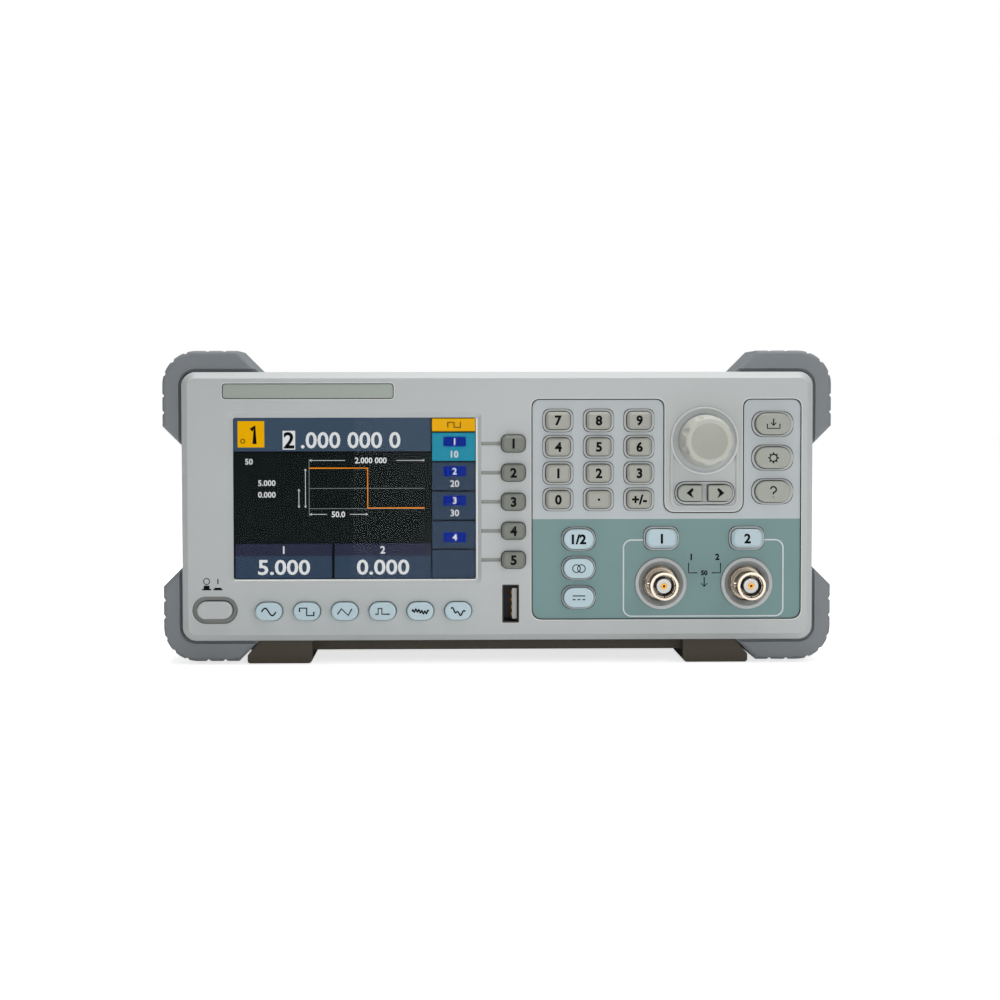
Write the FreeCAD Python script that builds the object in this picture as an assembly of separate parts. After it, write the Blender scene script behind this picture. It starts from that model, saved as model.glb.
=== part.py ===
import FreeCAD, Part
import math
import os

# A two-channel bench function generator, built from separate pieces.
# Millimetres. X points right as seen from the front, Y points to the rear and Z up.
# The origin is on the ground, at the middle of the outer box.
# Places on the front panel are given as (x, height above the panel's middle, depth), where the
# depth is measured inwards from the front face of the bezel, so a key's cap has a negative depth.

os.makedirs("parts", exist_ok=True)
V = FreeCAD.Vector

# ---- Driving dimensions -------------------------------------------------------------------

WIDTH = 235.0
DEPTH = 295.0
HEIGHT = 110.0
BUMPER = 7.5                 # rubber standing out above and below the bezel
REAR_BUMPER_TOP = 105.0      # the rear corners stay lower than the front ones
BEZEL_HEIGHT = 94.0
BEZEL_WIDTH = 221.0
BEZEL_DEPTH = 12.0
BEZEL_CORNER = 4.8
BEVEL = 2.2
WALL = 2.5                   # bezel wall
SHELL = 2.0                  # cover wall
KNOB_REACH = 15.0            # the knob's nose in front of the bezel

FRONT = -DEPTH / 2 + KNOB_REACH
PANEL_Z = HEIGHT - BUMPER - BEZEL_HEIGHT / 2
BEZEL_BOTTOM = PANEL_Z - BEZEL_HEIGHT / 2

BODY_HALF = 106.5            # half the width of the covers
BODY_TOP = 99.5
BODY_BOTTOM = 4.2
BODY_SPLIT = 25.0            # height where the two covers meet
BODY_CORNER = 4.0
COVER_END = 133.0            # rear edge of the covers
REAR_FACE = 132.0            # outer face of the rear panel
REAR_PLATE = 2.5

OVERLAY_POCKET = 0.8
OVERLAY_FACE = 0.3

CAP_REACH = 2.8              # key caps in front of the bezel
CAP_BEVEL = 0.9
KEY_GAP = 0.3
FLANGE_NEAR = 2.8
FLANGE_FAR = 3.8
FLANGE_RIM = 0.5
STEM_END = 7.0
STEM_WIDTH = 2.5

MAT_NEAR = 5.2
MAT_FAR = 6.4
BOARD_NEAR = 9.5
BOARD_FAR = 11.1
SWITCH_NEAR = 8.3            # fronts of the tactile switches

SCREEN = (-50.2, 2.8)
SCREEN_SIZE = (84.8, 56.6)
KNOB = (72.3, 22.9)
OUTPUTS = ((57.0, -27.2), (87.2, -27.2))
OUTPUT_REACH = 13.5
USB = (4.3, -34.1)
POWER = (-99.0, -36.1)
BOARD_POSTS = ((100.6, 37.8), (100.6, -38.8), (12.5, 37.8), (41.0, -38.8))

FOOT_X = 76.9
FOOT_WIDTH = 22.8
FOOT_NEAR = 6.0              # the foot's front face, behind the bezel's face
FOOT_LENGTH = 35.0
LEG_WIDTH = 16.0
LEG_RADIUS = 2.1
LEG_LENGTH = 24.0
LEG_GAP = 0.4
LEG_AXIS_Z = 0.6 + LEG_RADIUS
LEG_AXIS_DEPTH = FOOT_NEAR + 2.0 + 0.8 + LEG_RADIUS
LEG_PIN = 1.5
PIN_GAP = 0.05

INLET = (70.0, 42.0)         # x and z of the mains inlet's middle
REAR_JACKS = (-80.0, -58.0, -36.0)
REAR_JACK_Z = 42.0
USB_REAR = (-6.0, 42.0)
REAR_JACK_REACH = 12.0

BOARD_SEAT = 12.2            # height of the circuit boards' undersides
MAIN_BOARD_POSTS = [(-94.0, -80.0), (36.0, -80.0), (-94.0, 84.0), (36.0, 84.0)]
SUPPLY_POSTS = [(56.0, -44.0), (96.0, -44.0), (56.0, 84.0), (96.0, 84.0)]
PANEL_SCREWS = [(-98.0, 12.0), (98.0, 12.0), (-98.0, 92.0), (98.0, 92.0)]
INLET_SCREWS = [(INLET[0] - 20.0, INLET[1]), (INLET[0] + 20.0, INLET[1])]

# ---- Keys: cap width, cap height, corner radius, collar width, collar height -------------

KEY_STYLES = {
    "digit": (8.4, 6.1, 1.7, 10.45, 7.85),
    "menu": (12.3, 7.4, 3.7, 14.5, 8.8),
    "channel": (10.6, 6.9, 3.45, 11.9, 8.1),
    "output": (10.8, 6.6, 2.4, 12.25, 8.15),
    "wave": (9.3, 6.2, 3.1, 0.0, 0.0),
    "soft": (8.2, 5.8, 1.9, 0.0, 0.0),
    "arrow": (8.5, 5.6, 1.4, 0.0, 0.0),
}

KEYS = {}
for column, wave in enumerate(("sine", "square", "ramp", "pulse", "noise", "arbitrary")):
    KEYS["wave_key_" + wave] = ("wave", -80.1 + 13.2 * column, -36.5)
for row in range(5):
    KEYS["soft_key_" + str(row + 1)] = ("soft", 5.3, 22.0 - 10.17 * row)
DIGIT_ROWS = (("7", "8", "9"), ("4", "5", "6"), ("1", "2", "3"), ("0", "point", "sign"))
for row, names in enumerate(DIGIT_ROWS):
    for column, name in enumerate(names):
        KEYS["digit_key_" + name] = ("digit", 20.9 + 14.17 * column, 30.0 - 9.2 * row)
KEYS["arrow_key_left"] = ("arrow", KNOB[0] - 5.3, 4.6)
KEYS["arrow_key_right"] = ("arrow", KNOB[0] + 5.3, 4.6)
for row, name in enumerate(("save", "utility", "help")):
    KEYS[name + "_key"] = ("menu", 96.1, 28.7 - 11.82 * row)
for row, name in enumerate(("channel_select", "both_channels", "dc")):
    name = name + "_key"
    KEYS[name] = ("channel", 28.1, -11.45 - 10.22 * row)
KEYS["output_key_1"] = ("output", OUTPUTS[0][0] + 0.1, -11.3)
KEYS["output_key_2"] = ("output", OUTPUTS[1][0] - 0.1, -11.3)
ARROW_COLLAR = (20.7, 7.75)


# ---- Helpers ------------------------------------------------------------------------------

def box(x0, x1, y0, y1, z0, z1):
    return Part.makeBox(x1 - x0, y1 - y0, z1 - z0, V(x0, y0, z0))


def fuse(shapes):
    return shapes[0].multiFuse(shapes[1:]).removeSplitter()


def cut(shape, tools):
    return shape.cut(Part.makeCompound(tools))


def outline(points, y):
    """Closed wire in an upright plane. A point is (x, z) or (x, z, corner radius)."""
    corners = []
    count = len(points)
    for index in range(count):
        here = V(points[index][0], y, points[index][1])
        radius = points[index][2] if len(points[index]) > 2 else 0.0
        if radius == 0.0:
            corners.append((here, here, None))
            continue
        before = points[index - 1]
        after = points[(index + 1) % count]
        to_before = (V(before[0], y, before[1]) - here).normalize()
        to_after = (V(after[0], y, after[1]) - here).normalize()
        half = to_before.getAngle(to_after) / 2
        reach = radius / math.tan(half)
        inwards = (to_before + to_after).normalize()
        middle = here + inwards * (radius / math.sin(half) - radius)
        corners.append((here + to_before * reach, here + to_after * reach, middle))
    edges = []
    for index in range(count):
        start, end, middle = corners[index]
        if middle is not None:
            edges.append(Part.Arc(start, middle, end).toShape())
        following = corners[(index + 1) % count][0]
        if end.distanceToPoint(following) > 1e-6:
            edges.append(Part.makeLine(end, following))
    return Part.Wire(Part.__sortEdges__(edges))


def prism(points, y0, y1):
    return Part.Face(outline(points, y0)).extrude(V(0, y1 - y0, 0))


def rectangle(x, z, width, height, radius=0.0):
    """Corner list of a rounded rectangle; half the height as radius makes a pill."""
    dx = width / 2
    dz = height / 2
    radius = min(radius, dx - 0.001, dz - 0.001)
    return [(x - dx, z - dz, radius), (x + dx, z - dz, radius),
            (x + dx, z + dz, radius), (x - dx, z + dz, radius)]


def plate(x, z, width, height, radius, near, far):
    """Rounded block on the panel, from one depth to another."""
    points = rectangle(x, PANEL_Z + z, width, height, radius)
    return prism(points, FRONT + near, FRONT + far)


def disc(x, z, diameter, near, far):
    return Part.makeCylinder(diameter / 2, far - near, V(x, FRONT + near, PANEL_Z + z), V(0, 1, 0))


def cone(x, z, near_diameter, far_diameter, near, far):
    place = V(x, FRONT + near, PANEL_Z + z)
    return Part.makeCone(near_diameter / 2, far_diameter / 2, far - near, place, V(0, 1, 0))


def rod(x, y, z, radius, length, along):
    return Part.makeCylinder(radius, length, V(x, y, z), along)


def front_edges(shape, y):
    found = []
    for edge in shape.Edges:
        limits = edge.BoundBox
        if abs(limits.YMin - y) < 0.01 and abs(limits.YMax - y) < 0.01:
            found.append(edge)
    return found


def round_front(shape, near, radius):
    return shape.makeFillet(radius, front_edges(shape, FRONT + near))


def save(name, shape):
    shape.exportStep("parts/" + name + ".step")
    print(name, "solids", len(shape.Solids), "volume", round(shape.Volume), "valid", shape.isValid())


def save_group(name, solids):
    save(name, Part.makeCompound(solids))


# ---- Front panel --------------------------------------------------------------------------

def overlay_points(inset):
    """The overlay wraps round the knob's island: eight corners and a notch from the top."""
    left, right, bottom, top = 11.8 + inset, 106.1 - inset, -39.6 + inset, 37.4 - inset
    notch_left, notch_right, notch_bottom = 58.0 - inset, 85.9 + inset, -2.3 - inset
    points = [(left, bottom, 3.6), (right, bottom, 3.6), (right, top, 3.0), (notch_right, top, 3.0),
              (notch_right, notch_bottom, 4.0), (notch_left, notch_bottom, 4.0),
              (notch_left, top, 3.0), (left, top, 3.0)]
    return [(x, PANEL_Z + z, radius) for x, z, radius in points]


def arrow_points(x, z, grow):
    """The outer end of an arrow key is round and the inner end nearly square."""
    side = 1 if x > KNOB[0] else -1
    width, height = KEY_STYLES["arrow"][:2]
    inner = x - side * (width / 2 + grow)
    outer = x + side * (width / 2 + grow)
    low = PANEL_Z + z - height / 2 - grow
    high = PANEL_Z + z + height / 2 + grow
    inner_radius = 0.6 + grow
    outer_radius = 2.5 + grow
    return [(inner, low, inner_radius), (outer, low, outer_radius),
            (outer, high, outer_radius), (inner, high, inner_radius)]


def key_hole(style, x, z, far):
    if style == "arrow":
        return prism(arrow_points(x, z, KEY_GAP), FRONT - 3.0, FRONT + far)
    width, height, radius = KEY_STYLES[style][:3]
    grow = 2 * KEY_GAP
    return plate(x, z, width + grow, height + grow, radius + KEY_GAP, -3.0, far)


def collar(style, x, z, near, grow=0.0):
    width, height, radius, collar_width, collar_height = KEY_STYLES[style]
    corner = radius + (collar_height - height) / 2 + grow
    return plate(x, z, collar_width + 2 * grow, collar_height + 2 * grow, corner, near, OVERLAY_POCKET)


def display_recess():
    """Sloping frame round the screen, then a straight opening."""
    x, z = SCREEN
    width, height = SCREEN_SIZE
    outer = outline(rectangle(x - 0.1, PANEL_Z + z + 0.2, width + 4.1, height + 3.3, 1.6), FRONT)
    inner = outline(rectangle(x, PANEL_Z + z, width, height, 0.8), FRONT + 1.6)
    slope = Part.makeLoft([outer, inner], True)
    return [slope, plate(x, z, width, height, 0.8, 1.5, WALL)]


def knob_island():
    """Low ridge round the knob that runs down and round the two arrow keys."""
    x, z = KNOB
    ridge = 0.9
    height = 0.5
    width = 24.0
    bottom = -0.8
    legs = []
    rings = []
    for inset in (0.0, ridge):
        low = PANEL_Z + bottom + inset
        radius = 3.0 - inset
        left = x - width / 2 + inset
        right = x + width / 2 - inset
        points = [(left, low, radius), (right, low, radius), (right, PANEL_Z + z), (left, PANEL_Z + z)]
        legs.append(prism(points, FRONT - height, FRONT))
        rings.append(disc(x, z, width - 2 * inset, -height, 0.0))
    ridge_legs = legs[0].cut(legs[1]).cut(rings[1])
    ridge_ring = rings[0].cut(rings[1])
    arrow_ring = plate(x, 4.6, ARROW_COLLAR[0], ARROW_COLLAR[1], 3.87, -height, 0.0)
    arrow_floor = plate(x, 4.6, ARROW_COLLAR[0] - 1.2, ARROW_COLLAR[1] - 1.2, 3.2, -height, 0.0)
    return [ridge_legs, ridge_ring, arrow_ring.cut(arrow_floor)]


def make_front_bezel():
    shell = plate(0, 0, BEZEL_WIDTH, BEZEL_HEIGHT, BEZEL_CORNER, 0.0, BEZEL_DEPTH)
    shell = shell.makeChamfer(BEVEL, front_edges(shell, FRONT))
    cavity = plate(0, 0, BEZEL_WIDTH - 2 * WALL, BEZEL_HEIGHT - 2 * WALL, 2.4, WALL, BEZEL_DEPTH + 1)
    pocket = prism(overlay_points(0.0), FRONT - 1.0, FRONT + OVERLAY_POCKET)
    shell = cut(shell, [cavity, pocket])
    additions = knob_island()
    for style, x, z in KEYS.values():
        if KEY_STYLES[style][3] > 0:
            additions.append(collar(style, x, z, -0.4))
    for x, z in OUTPUTS:
        additions.append(disc(x, z, 18.0, -0.6, OVERLAY_POCKET))
    for x, z in BOARD_POSTS:
        additions.append(disc(x, z, 5.0, WALL, BOARD_NEAR))
    shell = fuse([shell] + additions)
    openings = display_recess()
    for style, x, z in KEYS.values():
        openings.append(key_hole(style, x, z, WALL + 0.5))
    for row in range(5):
        openings.append(plate(-2.6, 22.0 - 10.17 * row, 6.8, 1.3, 0.0, -1.0, 0.4))
    for x, z in OUTPUTS:
        openings.append(cone(x, z, 15.8, 12.1, -0.61, WALL + 0.01))
    for x, z in BOARD_POSTS:
        openings.append(disc(x, z, 2.2, WALL + 0.5, BOARD_NEAR + 1))
    openings.append(plate(-66.3, 40.3, 59.5, 5.2, 1.2, -1.0, 0.6))
    openings.append(plate(POWER[0], POWER[1], 15.8, 9.6, 4.8, -1.0, 1.2))
    openings.append(plate(POWER[0], POWER[1], 12.9, 6.8, 3.4, 1.0, WALL + 0.5))
    openings.append(plate(USB[0], USB[1], 5.9, 13.4, 0.3, -1.0, WALL + 0.5))
    openings.append(disc(KNOB[0], KNOB[1], 7.2, -1.0, WALL + 0.5))
    return cut(shell, openings)


def make_control_overlay():
    sheet = prism(overlay_points(0.12), FRONT + OVERLAY_FACE, FRONT + OVERLAY_POCKET)
    openings = []
    for style, x, z in KEYS.values():
        if style in ("digit", "menu", "channel", "output"):
            openings.append(collar(style, x, z, -1.0, 0.15))
    for x, z in OUTPUTS:
        openings.append(disc(x, z, 18.3, -1.0, 1.0))
    return cut(sheet, openings)


def make_key(style, x, z):
    """Cap, retaining flange behind the bezel and a stem that presses the switch."""
    width, height, radius = KEY_STYLES[style][:3]
    rim = 2 * (KEY_GAP + FLANGE_RIM)
    if style == "arrow":
        cap = prism(arrow_points(x, z, 0.0), FRONT - CAP_REACH, FRONT + FLANGE_NEAR)
        rim = 2 * (KEY_GAP + 0.3)
    else:
        cap = plate(x, z, width, height, radius, -CAP_REACH, FLANGE_NEAR)
    if style in ("digit", "soft", "output"):
        cap = cap.makeChamfer(CAP_BEVEL, front_edges(cap, FRONT - CAP_REACH))
    else:
        cap = round_front(cap, -CAP_REACH, 0.6)
    flange = plate(x, z, width + rim, height + rim, radius + 0.8, FLANGE_NEAR, FLANGE_FAR)
    stem = disc(x, z, STEM_WIDTH, FLANGE_FAR, STEM_END)
    return fuse([cap, flange, stem])


def make_power_button():
    x, z = POWER
    cap = round_front(plate(x, z, 12.3, 6.2, 3.1, -1.6, 5.5), -1.6, 0.8)
    flange = plate(x, z, 13.9, 7.8, 3.9, 5.5, 6.5)
    stem = plate(x, z, 4.0, 3.0, 0.0, 6.5, 19.0)
    return fuse([cap, flange, stem])


# ---- Behind the panel ---------------------------------------------------------------------

def make_display_window():
    return plate(SCREEN[0], SCREEN[1], 90.0, 62.0, 1.0, WALL, WALL + 1.0)


def make_lcd_module():
    x, z = SCREEN
    frame = plate(x, z, 97.0, 66.0, 1.0, WALL + 1.0, 8.5)
    glass_well = plate(x, z, 86.6, 58.4, 0.5, WALL, WALL + 1.6)
    tail = plate(x, z, 30.0, 18.0, 0.0, 8.5, 9.3)
    return fuse([frame, tail]).cut(glass_well)


def panel_sheet(near, far, inset):
    """L shape behind the keys: the whole right side and a strip under the display."""
    left, right = -87.0 + inset, 104.0 - inset
    bottom, top = -42.0 + inset, 41.4 - inset
    step_x = 0.4 + inset
    step_z = -31.6 - inset
    points = [(left, bottom), (right, bottom), (right, top), (step_x, top), (step_x, step_z), (left, step_z)]
    return prism([(x, PANEL_Z + z) for x, z in points], FRONT + near, FRONT + far)


def panel_passages(near, far, gap):
    """Clear ways for the sockets, the encoder and the posts."""
    ways = [disc(x, z, 12.0 + gap, near, far) for x, z in OUTPUTS]
    ways += [disc(x, z, 5.0 + gap, near, far) for x, z in BOARD_POSTS]
    ways.append(plate(USB[0], USB[1], 5.7 + gap, 13.1 + gap, 0.0, near, far))
    ways.append(plate(KNOB[0], KNOB[1], 12.4 + gap, 12.4 + gap, 0.0, near, far))
    return ways


def make_keypad_mat():
    sheet = panel_sheet(MAT_NEAR, BOARD_NEAR, 0.0)
    hollow = panel_sheet(MAT_FAR, BOARD_NEAR + 1, 1.5)
    stems = [disc(x, z, STEM_WIDTH + 0.9, MAT_NEAR - 1, MAT_FAR + 1) for style, x, z in KEYS.values()]
    return cut(sheet.cut(hollow), stems + panel_passages(MAT_NEAR - 1, BOARD_NEAR + 1, 0.8))


def make_key_board():
    """Circuit board with one tactile switch behind each key."""
    right = panel_sheet(BOARD_NEAR, BOARD_FAR, 0.0)
    left = plate(-92.0, -36.8, 28.0, 10.4, 0.0, BOARD_NEAR, BOARD_FAR)
    board = right.fuse(left)
    ways = [disc(x, z, 12.6, BOARD_NEAR - 1, BOARD_FAR + 1) for x, z in OUTPUTS]
    ways += [disc(x, z, 2.6, BOARD_NEAR - 1, BOARD_FAR + 1) for x, z in BOARD_POSTS]
    ways.append(plate(USB[0], USB[1], 6.1, 13.5, 0.0, BOARD_NEAR - 1, BOARD_FAR + 1))
    ways.append(disc(KNOB[0], KNOB[1], 7.0, BOARD_NEAR - 1, BOARD_FAR + 1))
    ways.append(plate(POWER[0], POWER[1], 5.2, 4.2, 0.0, BOARD_NEAR - 1, BOARD_FAR + 1))
    board = cut(board, ways)
    switches = []
    for style, x, z in KEYS.values():
        base = plate(x, z, 6.0, 5.0, 0.3, SWITCH_NEAR + 0.4, BOARD_NEAR)
        switches.append(base.fuse(disc(x, z, 3.2, SWITCH_NEAR, SWITCH_NEAR + 0.4)))
    connector = plate(30.0, 0.0, 24.0, 5.0, 0.0, BOARD_FAR, BOARD_FAR + 6.0)
    return fuse([board, connector] + switches)


def make_encoder_body():
    x, z = KNOB
    can = plate(x, z, 12.4, 12.4, 0.6, WALL + 0.2, BOARD_NEAR)
    bushing = disc(x, z, 7.0, -3.5, WALL + 0.2)
    return can.fuse(bushing).cut(disc(x, z, 6.0 + 2 * PIN_GAP, -4.0, 9.2))


def make_encoder_shaft():
    x, z = KNOB
    shaft = disc(x, z, 6.0, -12.0, 9.0)
    return round_front(shaft, -12.0, 0.4)


def make_tuning_knob():
    """Tapered knob with a finger dish and eight scallops that fade towards its base."""
    x, z = KNOB
    nose = -KNOB_REACH
    round_edge = 1.4
    rim_radius = 8.4
    profile = [(0.0, -0.7), (9.1, -0.7), (9.1, -1.6), (8.9, -8.5), (rim_radius, nose + round_edge)]
    points = [V(radius, depth, 0) for radius, depth in profile]
    edges = [Part.makeLine(points[i], points[i + 1]) for i in range(len(points) - 1)]
    bend = round_edge * math.sqrt(0.5)
    shoulder = V(rim_radius - round_edge + bend, nose + round_edge - bend, 0)
    rim = V(rim_radius - round_edge, nose, 0)
    middle = V(0.0, nose, 0)
    edges.append(Part.Arc(points[-1], shoulder, rim).toShape())
    edges.append(Part.makeLine(rim, middle))
    edges.append(Part.makeLine(middle, points[0]))
    knob = Part.Face(Part.Wire(edges)).revolve(V(0, 0, 0), V(0, 1, 0), 360)
    dish_radius = 6.3
    dish_depth = 1.1
    ball = (dish_radius ** 2 + dish_depth ** 2) / (2 * dish_depth)
    knob = knob.cut(Part.makeSphere(ball, V(0, nose + dish_depth - ball, 0)))
    scallops = []
    for step in range(8):
        turn = math.radians(22.5 + 45.0 * step)
        place = V(11.0 * math.cos(turn), nose - 0.5, 11.0 * math.sin(turn))
        scallops.append(Part.makeCone(3.4, 1.9, 10.0, place, V(0, 1, 0)))
    knob = cut(knob, scallops)
    knob.translate(V(x, FRONT, PANEL_Z + z))
    bore = disc(x, z, 6.0, -12.0, 0.0)
    socket = disc(x, z, 9.0, -5.0, 0.0)
    return cut(knob, [bore, socket])


def make_barrel(reach):
    """The part of a BNC jack that stands out, pointing to -Y from the origin."""
    def turned(radius, start, length):
        return Part.makeCylinder(radius, length, V(0, start - reach, 0), V(0, 1, 0))

    groove = turned(5.0, 1.1, 3.4).cut(turned(4.45, 1.1, 3.4))
    bore = turned(4.1, 0.0, 9.0)
    tube = cut(turned(4.825, 0.0, reach), [groove, bore])
    lugs = Part.makeCylinder(1.0, 11.0, V(-5.5, 5.6 - reach, 0), V(1, 0, 0)).cut(bore)
    insulator = turned(2.5, 2.0, 7.5)
    contact = turned(1.05, 1.6, 8.0)
    return fuse([tube, lugs, insulator, contact])


def make_output_sockets():
    """Each jack has a flange in the panel's cup, a round body and a block behind the board."""
    seat = 1.6
    jacks = []
    for x, z in OUTPUTS:
        barrel = make_barrel(OUTPUT_REACH + seat)
        barrel.translate(V(x, FRONT + seat, PANEL_Z + z))
        flange = disc(x, z, 11.0, seat, 4.5)
        body = disc(x, z, 12.0, 4.5, BOARD_FAR)
        block = plate(x, z, 15.0, 15.0, 0.5, BOARD_FAR, 20.0)
        jacks.append(fuse([barrel, flange, body, block]))
    return jacks


def make_usb_host_socket():
    x, z = USB
    shell = plate(x, z, 5.7, 13.1, 0.3, 0.3, 16.0)
    inside = plate(x, z, 5.0, 12.4, 0.2, 0.0, 13.0)
    tongue = plate(x + 1.35, z, 1.8, 11.2, 0.0, 1.6, 13.5)
    return shell.cut(inside).fuse(tongue)


def make_power_switch():
    x, z = POWER
    can = plate(x, z, 10.0, 8.0, 0.4, BOARD_FAR, 30.0)
    plunger_way = plate(x, z, 4.6, 3.6, 0.0, BOARD_FAR - 1, 20.0)
    return can.cut(plunger_way)


# ---- Case ---------------------------------------------------------------------------------

def cover_section(bottom, top, corner_at_top):
    """U-shaped section: open downwards for the top cover and upwards for the bottom one."""
    closed = top if corner_at_top else bottom
    opened = bottom if corner_at_top else top
    inside = closed - SHELL if corner_at_top else closed + SHELL
    outer = BODY_HALF
    inner = BODY_HALF - SHELL
    return [(-outer, opened), (-outer, closed, BODY_CORNER), (outer, closed, BODY_CORNER),
            (outer, opened), (inner, opened), (inner, inside, BODY_CORNER - SHELL),
            (-inner, inside, BODY_CORNER - SHELL), (-inner, opened)]


def make_top_cover():
    cover = prism(cover_section(BODY_SPLIT, BODY_TOP, True), FRONT + 10.0, COVER_END)
    slots = []
    for row_bottom in (42.0, 66.0):
        for step in range(12):
            y = 22.0 + 6.0 * step
            slots.append(box(-BODY_HALF - 1, BODY_HALF + 1, y, y + 2.4, row_bottom, row_bottom + 18.0))
    bosses = []
    for side in (-1, 1):
        x = side * 98.0
        boss = box(x - 4, x + 4, REAR_FACE - REAR_PLATE - 10.0, REAR_FACE - REAR_PLATE, 88.0, 97.5)
        hole = rod(x, REAR_FACE - REAR_PLATE - 8.0, 92.0, 1.5, 8.0, V(0, 1, 0))
        bosses.append(boss.cut(hole))
    return fuse([cut(cover, slots)] + bosses)


def foot_points(side):
    """Front outline of a foot block; its outer side leans in under the rubber corner."""
    inner = FOOT_X - FOOT_WIDTH / 2
    outer = FOOT_X + FOOT_WIDTH / 2
    top = BEZEL_BOTTOM - 0.1
    points = [(inner, top), (inner, 0.0, 1.5), (outer, 0.0, 1.0), (outer, 2.9), (outer - 4.9, top)]
    return [(side * point[0],) + point[1:] for point in points]


def make_foot(side):
    start = FRONT + FOOT_NEAR
    under_bezel = prism(foot_points(side), start, FRONT + BEZEL_DEPTH)
    inner = side * (FOOT_X - FOOT_WIDTH / 2)
    outer = side * (FOOT_X + FOOT_WIDTH / 2 - 4.9)
    points = [(point[0], min(point[1], 7.4)) + point[2:] for point in foot_points(side)[1:4]]
    points = [(inner, 7.4)] + points + [(outer, 7.4)]
    behind = prism(points, FRONT + BEZEL_DEPTH, start + FOOT_LENGTH)
    return under_bezel.fuse(behind)


def foot_recess(side):
    """Pocket that holds the folded leg, open below and to the rear, with its pin holes."""
    x = side * FOOT_X
    half = LEG_WIDTH / 2 + LEG_GAP
    y0 = FRONT + FOOT_NEAR + 2.0
    pocket = box(x - half, x + half, y0, FRONT + FOOT_NEAR + FOOT_LENGTH + 1, -1.0, 5.2)
    axis_y = FRONT + LEG_AXIS_DEPTH
    pins = rod(x - half - 2.2, axis_y, LEG_AXIS_Z, LEG_PIN + PIN_GAP, 2 * half + 4.4, V(1, 0, 0))
    return pocket.fuse(pins)


def make_bottom_cover():
    tray = prism(cover_section(BODY_BOTTOM, BODY_SPLIT, False), FRONT + BEZEL_DEPTH, COVER_END)
    floor = BODY_BOTTOM + SHELL
    inner = BODY_HALF - SHELL
    additions = [make_foot(-1), make_foot(1)]
    additions.append(box(-inner, inner, FRONT + BEZEL_DEPTH, FRONT + 14.0, BODY_BOTTOM + 1, 13.1))
    additions.append(box(-95.0, 95.0, FRONT + 6.0, FRONT + BEZEL_DEPTH, 11.1, 13.1))
    for side in (-1, 1):
        edge = side * inner
        lip = sorted((edge, edge - side * 1.6))
        additions.append(box(lip[0], lip[1], FRONT + 38.0, 112.0, floor, BODY_SPLIT + 5.0))
    for x, y in MAIN_BOARD_POSTS + SUPPLY_POSTS:
        additions.append(rod(x, y, floor - 0.5, 3.5, BOARD_SEAT - floor + 0.5, V(0, 0, 1)))
    holes = [foot_recess(-1), foot_recess(1)]
    for x, y in MAIN_BOARD_POSTS + SUPPLY_POSTS:
        holes.append(rod(x, y, floor, 1.5, 20.0, V(0, 0, 1)))
    for side in (-1, 1):
        x = side * 98.0
        boss = box(x - 4, x + 4, REAR_FACE - REAR_PLATE - 10.0, REAR_FACE - REAR_PLATE, floor, 16.5)
        additions.append(boss)
        holes.append(rod(x, REAR_FACE - REAR_PLATE - 8.0, 12.0, 1.5, 8.0, V(0, 1, 0)))
    for step in range(14):
        x = -52.0 + 8.0 * step
        holes.append(box(x, x + 3.0, -40.0, 20.0, BODY_BOTTOM - 1, floor + 1))
    return cut(fuse([tray] + additions), holes)


def make_rear_panel():
    half = BODY_HALF - SHELL - 0.1
    bottom = BODY_BOTTOM + SHELL + 0.1
    top = BODY_TOP - SHELL - 0.1
    points = rectangle(0.0, (bottom + top) / 2, 2 * half, top - bottom, 1.9)
    panel = prism(points, REAR_FACE - REAR_PLATE, REAR_FACE)
    y = REAR_FACE - REAR_PLATE - 1
    openings = [rod(x, y, REAR_JACK_Z, 5.7, 5.0, V(0, 1, 0)) for x in REAR_JACKS]
    openings.append(box(USB_REAR[0] - 6.2, USB_REAR[0] + 6.2, y, y + 5, USB_REAR[1] - 5.7, USB_REAR[1] + 5.7))
    openings.append(box(INLET[0] - 14.2, INLET[0] + 14.2, y, y + 5, INLET[1] - 16.2, INLET[1] + 16.2))
    for x, z in PANEL_SCREWS + INLET_SCREWS:
        openings.append(rod(x, y, z, 1.6, 5.0, V(0, 1, 0)))
    for step in range(15):
        x = -84.0 + 7.0 * step
        openings.append(box(x, x + 3.0, y, y + 5, 66.0, 84.0))
    return cut(panel, openings)


# ---- Rubber corners -----------------------------------------------------------------------

def corner_points(side, level, top, inner_x, inner_z):
    """Front outline of one corner: an L with a round outside and 45 degree ends."""
    outer_x = WIDTH / 2
    outer_z = top if level > 0 else BEZEL_BOTTOM - BUMPER
    straight = 26.4
    thick_x = outer_x - inner_x
    thick_z = abs(outer_z - inner_z)
    return [(side * (outer_x - straight), outer_z), (side * outer_x, outer_z, 12.0),
            (side * outer_x, outer_z - level * straight),
            (side * inner_x, outer_z - level * (straight + thick_x)),
            (side * inner_x, inner_z, 3.0), (side * (outer_x - straight - thick_z), inner_z)]


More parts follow.
